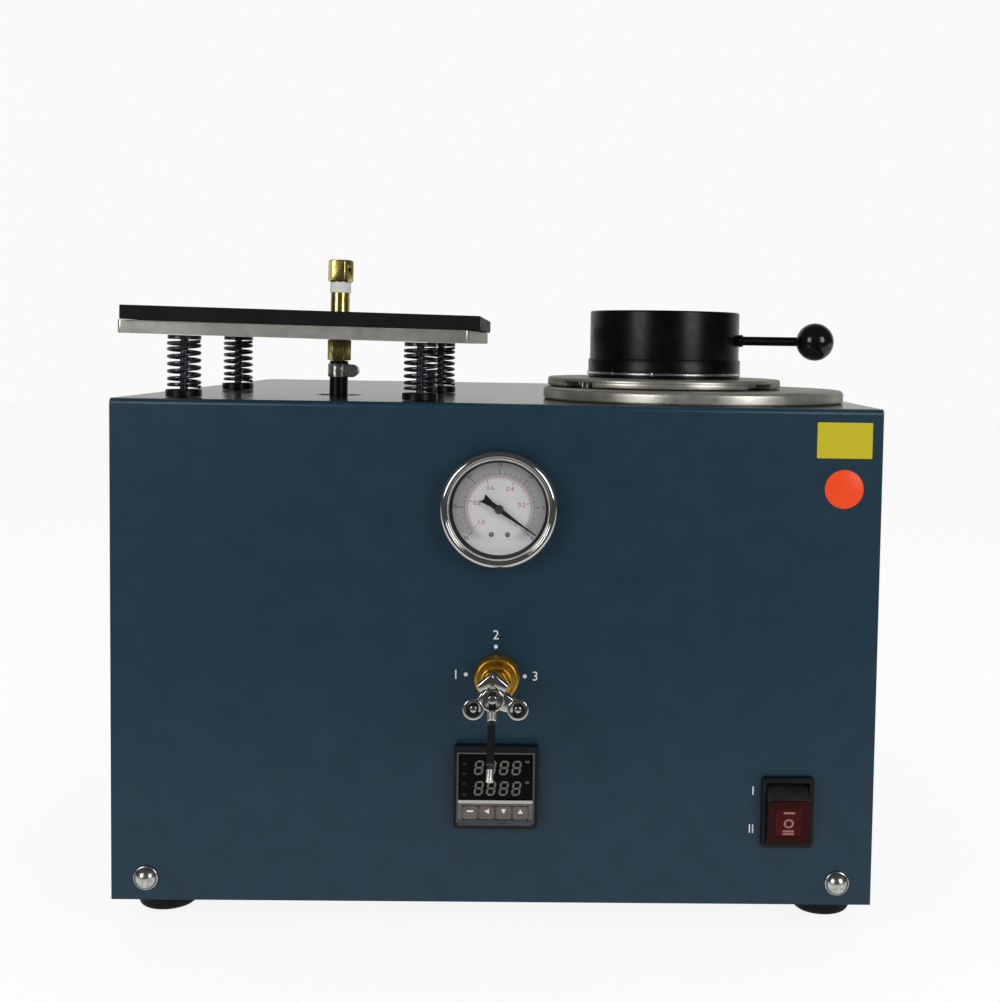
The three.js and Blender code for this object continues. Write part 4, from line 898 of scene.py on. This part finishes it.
def helix(length):
    """One wire of seven turns, closer at both ends, from height 0 to a length."""
    wire, mean, end_pitch, steps = 1.0, 8.8, 2.6, 40
    pitch = (length - 2 * wire - 2 * end_pitch) / 5
    bm = bmesh.new()
    made = bmesh.ops.create_circle(bm, segments=12, radius=wire, cap_ends=True)
    bmesh.ops.transform(bm, verts=made["verts"], matrix=moved(mean, 0, wire) @ turned(90, "X"))
    geom = bm.verts[:] + bm.edges[:] + bm.faces[:]
    for turns, rise in ((1, end_pitch), (5, pitch), (1, end_pitch)):
        geom = bmesh.ops.spin(bm, geom=geom, cent=ORIGIN, axis=UPWARD, dvec=(0, 0, rise / steps),
                              angle=math.tau * turns, steps=steps * turns, use_merge=False,
                              use_duplicate=False)["geom_last"]
    bmesh.ops.recalc_face_normals(bm, faces=bm.faces)
    return bm


def guide_rod(node):
    """A rod with a nut near its lower end and the spring's seat at its top."""
    low, high = corners_mm(node)
    end = low.z - high.z
    return lathe([(0, end), (2.0, end), (2.3, end + 0.4), (2.3, end + 4.5), (6.5, end + 4.5),
                  (6.5, end + 9), (2.3, end + 9), (2.3, -2.7), (9.3, -2.7), (9.6, -2.4), (9.6, -0.6),
                  (9.3, -0.3), (0, -0.3)], 48)


for corner, sx, sy in CORNERS:
    low, high = corners_mm("spring_" + corner)
    mid, tall = (low + high) / 2, high.z - low.z
    spring = finished(helix(tall), "coil_" + corner, "cabinet", black_steel, "spring_" + corner,
                      slot="black_steel", at=moved(mid.x, mid.y, low.z), smooth=60)
    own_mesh(spring)
    finished(guide_rod("guide_rod_" + corner), "post_" + corner, "table", black_steel,
             "guide_rod_" + corner, slot="black_steel",
             at=TABLE_PLACE @ moved(sx * SPREAD, sy * SPREAD, 0))
    cup_at = middle_mm("spring_cup_" + corner)
    cup = lathe([(3.7, 0.3), (10.1, 0.3), (10.4, 0.6), (10.4, 4.1), (10.1, 4.4), (9.7, 4.4), (9.5, 4.2),
                 (9.5, 1.8), (3.7, 1.8)], 64, closed=True)
    finished(cup, "cup_" + corner, "cabinet", cup_nylon, "spring_cup_" + corner, slot="black_rubber",
             at=moved(cup_at.x, cup_at.y, DECK))

# Vacuum stem and hose

TAPE_FROM, LAPS, LAP = 29.5, 4, 1.65
tube = [(3.6, -5), (6, -5), (6, 29.2), (6, 36.2), (6, 43.7), (5.7, 44), (3.9, 44), (3.6, 43.7)]


def tape_wrap():
    """White sealing tape, wound in laps over the thread."""
    profile = [(6.02, 29.4), (6.3, 29.4)]
    for i in range(LAPS):
        base = TAPE_FROM + i * LAP
        profile += [(6.5, base + 0.1), (6.62, base + 0.8), (6.5, base + 1.5)]
    return lathe(profile + [(6.3, 36.1), (6.02, 36.1)], 64, closed=True)


def worm_clamp():
    """A slotted band with its housing and a worm whose slotted head faces the viewer."""
    middle, worm_x = -19.55, 9.1
    strap = lathe([(6.05, -23.7), (6.75, -23.7), (6.85, -23.5), (6.85, -15.6), (6.75, -15.4),
                   (6.05, -15.4)], 64, closed=True)
    slots = [place(slab(0.5, 0.9, -3, 3), turned(angle, "Z") @ moved(6.75, 0, middle))
             for angle in range(-150, -29, 15)]
    house = soften(place(slab(5.4, 11, -23.05, -16.05, 1.2), moved(7.75, 0, 0)), 0.4)
    worm = place(lathe([(0, -8.5), (3.5, -8.5), (4.1, -8), (4.1, -5.4), (3.3, -5), (3.3, 5.5), (0, 5.5)],
                       48), moved(worm_x, 0, middle) @ turned(-90, "X"))
    drive = place(slab(6.6, 1.0, -0.3, 0.4), moved(worm_x, -8.4, middle) @ TO_VIEWER)
    return gather(strap, house, worm, drive, *slots)


tail = lathe([(2.2, -27.2), (3.3, -27.2), (3.7, -26.5), (3.7, -12.8), (2.2, -12.8)], 32, closed=True)
hose_end = corners_mm("table_hose")[0].z - DECK - TABLE_STAND
fitted(STEM_PLACE, "table",
       (lathe(tube, 64, closed=True), "stem_pipe", brass, "stem_tube", "brass"),
       (tape_wrap(), "thread_tape", tape_white))
fitted(STEM_PLACE @ turned(CAP_TURN, "Z") @ STEM_PLACE.inverted(), "table",
       (copied("stem_cap", 0.25), "stem_nut", brass, "stem_cap", "brass"))
fitted(STEM_PLACE, "table",
       (gather(hex_bar(13.1, -13.2, -0.3, 0.6), tail), "stem_union", brass, "stem_fitting", "brass"),
       (lathe([(4.1, hose_end), (5.75, hose_end), (5.75, -13.9), (5.35, -13.5), (4.5, -13.5),
               (4.1, -13.8)], 48, closed=True), "hose_length", hose, "table_hose", "black_rubber"),
       (worm_clamp(), "worm_clamp", zinc, "hose_clamp", "zinc_steel"))

# Casting flange and vacuum chamber

FLANGE_AT = moved(FLANGE.x, FLANGE.y, DECK)
POT_AT = moved(POT.x, POT.y, DECK)
disc = [(38, 0.3), (94.3, 0.3), (95.3, 1.3), (95.3, 5.3)] + bow(92.7, 5.3, 2.6, 0, 90, 8)
disc += [(44.3, 7.9), (44, 7.6), (44, 4.9), (38, 4.9)]
seal = [(38.3, 5.2), (43.7, 5.2), (43.7, 7.6), (43.4, 7.9), (38.6, 7.9), (38.3, 7.6)]


def chamber():
    """A deep can with a round bottom edge and an outlet low on its left."""
    shell = lathe([(0, -116), (40.6, -116)] + bow(40.6, -114, 2, -90, 0, 4)
                  + [(42.6, 0), (40.6, 0), (40.6, -113.6), (40.2, -114), (0, -114)], 128)
    outlet = place(lathe([(4, 40), (6, 40), (6, 56.2), (5.6, 56.6), (4, 56.6)], 32, closed=True),
                   moved(0, 0, -96) @ turned(-90, "Y"))
    return gather(shell, outlet)


fitted(FLANGE_AT, "cabinet",
       (lathe(disc, 192, closed=True), "flange_disc", flange_alu, "casting_flange", "aluminium"),
       (lathe(seal, 128, closed=True), "flask_gasket", silicone, "chamber_gasket", "silicone"),
       (chamber(), "chamber_pot", stainless, "chamber_can", "stainless"))

# Melting pot on its swinging plate

NOTCHES, STUDS, LUGS = (41, 139, 221, 319), (220, 100, 340), (225, 258, 315, 15, 75, 135, 180)
PLATE, PLATE_EDGE, NOTCH_DEEP, NOTCH_HALF = 74, 1.7, 62.0, 12.0
PLATE_TOP = above_deck("swivel_plate")[1]
PLATE_LOW = PLATE_TOP - 5.4
NOTCH_TOP = PLATE_LOW + 3.2


def notched_disc():
    """The lower layer of the plate: a disc with four square notches in its edge."""
    edge = math.sqrt(PLATE ** 2 - NOTCH_HALF ** 2)
    open_angle = math.degrees(math.asin(NOTCH_HALF / PLATE))
    outline = []
    for before, angle in zip(NOTCHES[-1:] + NOTCHES[:-1], NOTCHES):
        first = (before if before < angle else before - 360) + open_angle
        outline += bow(0, 0, PLATE, first, angle - open_angle, 24)[1:-1]
        for out, side in ((edge, -1), (NOTCH_DEEP, -1), (NOTCH_DEEP, 1), (edge, 1)):
            spot = turned(angle, "Z") @ Vector((out, side * NOTCH_HALF, 0))
            outline.append((spot.x, spot.y))
    return cutout(outline, PLATE_LOW, NOTCH_TOP)


def swing_plate():
    """A disc with a round edge over its notched layer, and pairs of small studs in the gaps."""
    top = lathe([(0, NOTCH_TOP), (PLATE, NOTCH_TOP)]
                + bow(PLATE - PLATE_EDGE, PLATE_TOP - PLATE_EDGE, PLATE_EDGE, 0, 90, 6)
                + [(0, PLATE_TOP)], 160)
    studs = [place(lathe([(0, 8.2), (1.2, 8.2), (1.4, 8.4), (1.4, 12), (0, 12)], 16),
                   turned(angle, "Z") @ moved(66, y, 0)) for angle in STUDS for y in (-2.1, 2.1)]
    return gather(top, soften(notched_disc(), 0.6, 40, 2), *studs)


def pot_shell():
    """The black case: a low band with a groove, a straight wall and a rolled lip."""
    low, top = above_deck("pot_shell")
    slot_low, slot_high = low + 1.7, low + 3.2
    profile = [(0, low), (48.1, low), (48.4, low + 0.3), (48.4, slot_low - 0.2), (48.2, slot_low),
               (47.4, slot_low), (47.4, slot_high), (48.2, slot_high), (48.4, slot_high + 0.2),
               (48.4, low + 11), (48.2, low + 11.3), (47.4, low + 11.6), (47.4, top - 1.2)]
    profile += bow(46.2, top - 1.2, 1.2, 0, 90, 6)
    profile += [(41.3, top), (41, top - 0.3), (41, top - 1.4), (45.2, top - 1.4), (45.2, low + 2.4),
                (0, low + 2.4)]
    return lathe(profile, 160)


def seam_ring():
    """The bright joint ring, with the small lugs that hold it."""
    low, high = above_deck("pot_seam_ring")
    low, high = low - 0.2, high + 0.25
    ring = lathe([(47.7, low), (48.6, low), (48.8, low + 0.2), (48.8, high - 0.2), (48.6, high),
                  (47.7, high)], 160, closed=True)
    lugs = [place(soften(slab(0.9, 1.6, low - 0.25, high + 0.25), 0.15),
                  turned(angle, "Z") @ moved(48.6, 0, 0)) for angle in LUGS]
    return gather(ring, *lugs)


def lining_block():
    low, high = above_deck("pot_lining")
    bore, floor = 29.9, low + 5
    return lathe([(0, low), (44.6, low), (44.9, low + 0.3), (44.9, high - 0.5), (44.4, high),
                  (bore + 0.6, high), (bore, high - 0.6), (bore, floor), (0, floor)], 128)


def heater_tube():
    low, high = above_deck("heater_sleeve")
    return lathe([(26.6, low), (29.6, low), (29.6, high - 0.3), (29.3, high), (26.9, high),
                  (26.6, high - 0.3)], 128, closed=True)


def crucible_cup():
    low, high = above_deck("crucible")
    profile = [(0, low), (22.6, low), (22.9, low + 0.3), (25.9, high - 2.6), (28.2, high - 2.6),
               (28.5, high - 2.3), (28.5, high - 0.4), (28.1, high), (22.0, high), (21.7, high - 0.3)]
    return lathe(profile + bow(13.7, low + 10, 5, 0, -90, 8) + [(0, low + 5)], 128)


fitted(POT_AT, "melting_pot",
       (swing_plate(), "swing_plate", swivel_alu, "swivel_plate", "aluminium"),
       (pot_shell(), "pot_case", enamel, "pot_shell", "black_steel"),
       (seam_ring(), "seam_band", zinc, "pot_seam_ring", "stainless"),
       (lining_block(), "lining_block", refractory, "pot_lining", "refractory"),
       (heater_tube(), "heater_tube", ceramic, "heater_sleeve", "ceramic"),
       (crucible_cup(), "crucible_cup", graphite, "crucible", "graphite"))

REACH, BALL_RADIUS, GRIP_TURN = 96.0, 11.57, -18
GRIP_AT = moved(POT.x, POT.y, BALL.z) @ turned(GRIP_TURN, "Z") @ turned(90, "Y")
fitted(GRIP_AT, "melting_pot",
       (lathe([(0, 47.7), (3.5, 47.7), (3.8, 48), (3.8, 50.4), (3.5, 50.7), (2.8, 50.9), (2.8, 90.4),
               (0, 90.4)], 48), "handle_bar", enamel, "handle_rod", "black_steel"),
       (lathe([(0, REACH - BALL_RADIUS)] + bow(0, REACH, BALL_RADIUS, -87, 87, 48)
              + [(0, REACH + BALL_RADIUS)], 96), "handle_ball", phenolic, "ball_knob", "gloss_black"))
finished(copied("pivot_screw", 0.25, 40), "shoulder_screw", "cabinet", chrome, "pivot_screw",
         slot="chrome")

# Inside the cabinet and on its rear

dressed(("vacuum_pump", 0.8, "pump_casting", "cabinet", casting_paint, "cast_grey"),
        ("heater_transformer", 0.8, "transformer_winding", "cabinet", winding, "copper_winding"),
        ("power_inlet", 0.3, "rear_socket", "cabinet", black_abs, "black_plastic"))

# Camera, light and floor: the eye in millimetres, the lens and the picture in pixels

EYE = Vector((36.4, FRONT - 803.6, UNDERSIDE + 323.6)) * MM
YAW, PITCH, ROLL = (math.radians(angle) for angle in (1.27, -3.51, 0.94))
FOCAL, CENTRE_X, CENTRE_Y, WIDE, TALL = 1414.0, 594.0, 432.0, 1000, 1002
LONG = max(WIDE, TALL)
ahead = Vector((math.sin(YAW) * math.cos(PITCH), math.cos(YAW) * math.cos(PITCH), math.sin(PITCH)))
level = Vector((math.cos(YAW), -math.sin(YAW), 0))
upward = level.cross(ahead)
right = math.cos(ROLL) * level + math.sin(ROLL) * upward
up = -math.sin(ROLL) * level + math.cos(ROLL) * upward
lens = bpy.data.cameras.new("camera")
lens.sensor_width = 36
lens.lens = FOCAL / LONG * lens.sensor_width
lens.shift_x = (WIDE / 2 - CENTRE_X) / LONG
lens.shift_y = (CENTRE_Y - TALL / 2) / LONG
lens.clip_start = 0.01
camera = bpy.data.objects.new("camera", lens)
camera.matrix_world = Matrix((
    (right.x, up.x, -ahead.x, EYE.x),
    (right.y, up.y, -ahead.y, EYE.y),
    (right.z, up.z, -ahead.z, EYE.z),
    (0, 0, 0, 1),
))
bpy.context.scene.collection.objects.link(camera)
bpy.context.scene.camera = camera

# Brightness of the white backdrop and of the dark room before it, as metal and gloss mirror them
BACKDROP, ROOM = 0.72, 0.06
# How much of its own light the floor gives the eye, which hides where it ends, and how white
FLOOR_SHARE, FLOOR_WHITE, FLOOR_HALF = 0.86, 1.01, 6
WHITE = "#ffffff"


def light(tree, kind, strength, code=WHITE):
    return add(tree, kind, {"Color": linear(code), "Strength": strength}).outputs[kind]


def mixed(tree, share, first, second):
    return add(tree, "MixShader", {0: share, 1: first, 2: second}).outputs["Shader"]


def studio_floor():
    bm = bmesh.new()
    bmesh.ops.create_grid(bm, x_segments=1, y_segments=1, size=FLOOR_HALF)
    mesh = bpy.data.meshes.new("studio_floor")
    bm.to_mesh(mesh)
    bm.free()
    made, tree, shader, at = material("white_floor", {"Roughness": 0.9})
    tree.nodes.remove(shader)
    output = next(n for n in tree.nodes if n.type == "OUTPUT_MATERIAL")
    lit = add(tree, "BsdfDiffuse", {"Color": linear("#f7f7f7")}).outputs["BSDF"]
    # What metal and gloss mirror is white under and behind the cabinet, and dark towards the room
    depth = add(tree, "SeparateXYZ", {"Vector": at}).outputs["Y"]
    mirrored = light(tree, "Emission", remap(tree, depth, -0.75, -0.4, ROOM, BACKDROP, True))
    rays = add(tree, "LightPath").outputs
    glossy = mixed(tree, rays["Is Glossy Ray"], lit, mirrored)
    share = add(tree, "Math", {0: rays["Is Camera Ray"], 1: FLOOR_SHARE}, operation="MULTIPLY")
    whole = mixed(tree, share.outputs["Value"], glossy, light(tree, "Emission", FLOOR_WHITE))
    tree.links.new(whole, output.inputs["Surface"])
    mesh.materials.append(made)
    floor = bpy.data.objects.new("studio_floor", mesh)
    bpy.context.scene.collection.objects.link(floor)
    floor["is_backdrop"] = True


studio_floor()


def soft_box(name, where, aim, size, power):
    lamp = bpy.data.lights.new(name, "AREA")
    lamp.shape = "RECTANGLE"
    lamp.size, lamp.size_y = size
    lamp.energy = power
    box = bpy.data.objects.new(name, lamp)
    box.location = where
    box.rotation_euler = (Vector(aim) - Vector(where)).to_track_quat("-Z", "Y").to_euler()
    bpy.context.scene.collection.objects.link(box)
    return box


for side, x in (("left", -1.25), ("right", 1.25)):
    soft_box(side + "_soft_box", (x, -1.55, 0.8), (0, -0.1, 0.25), (0.7, 0.9), 10)
soft_box("top_soft_box", (0, 0.2, 2.0), (0, 0, 0.2), (1.6, 1.2), 12).visible_glossy = False

# The world: even light for the shapes, white to the eye, and a white backdrop for mirrors
world = bpy.data.worlds.new("studio")
bpy.context.scene.world = world
world.use_nodes = True
sky = world.node_tree
sky.nodes.clear()
AMBIENT = 0.55
rays = add(sky, "LightPath").outputs
way = add(sky, "SeparateXYZ", {"Vector": add(sky, "TexCoord").outputs["Generated"]}).outputs
behind = remap(sky, way["Y"], 0.3, 0.85, smooth=True)
low_down = remap(sky, way["Z"], 0.35, 0.8, 1.0, 0.3, True)
screen = add(sky, "Math", {0: behind, 1: low_down}, operation="MULTIPLY").outputs["Value"]
glow = remap(sky, screen, 0.0, 1.0, ROOM, BACKDROP)
seen = add(sky, "Math", {0: rays["Is Camera Ray"], 1: rays["Is Transmission Ray"]},
           operation="MAXIMUM").outputs["Value"]
dull = mixed(sky, rays["Is Glossy Ray"], light(sky, "Background", AMBIENT),
             light(sky, "Background", glow))
backdrop = light(sky, "Background", 1.0, "#fafafa")
add(sky, "OutputWorld", {"Surface": mixed(sky, seen, dull, backdrop)})

bpy.context.scene.view_settings.view_transform = "Standard"

low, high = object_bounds()
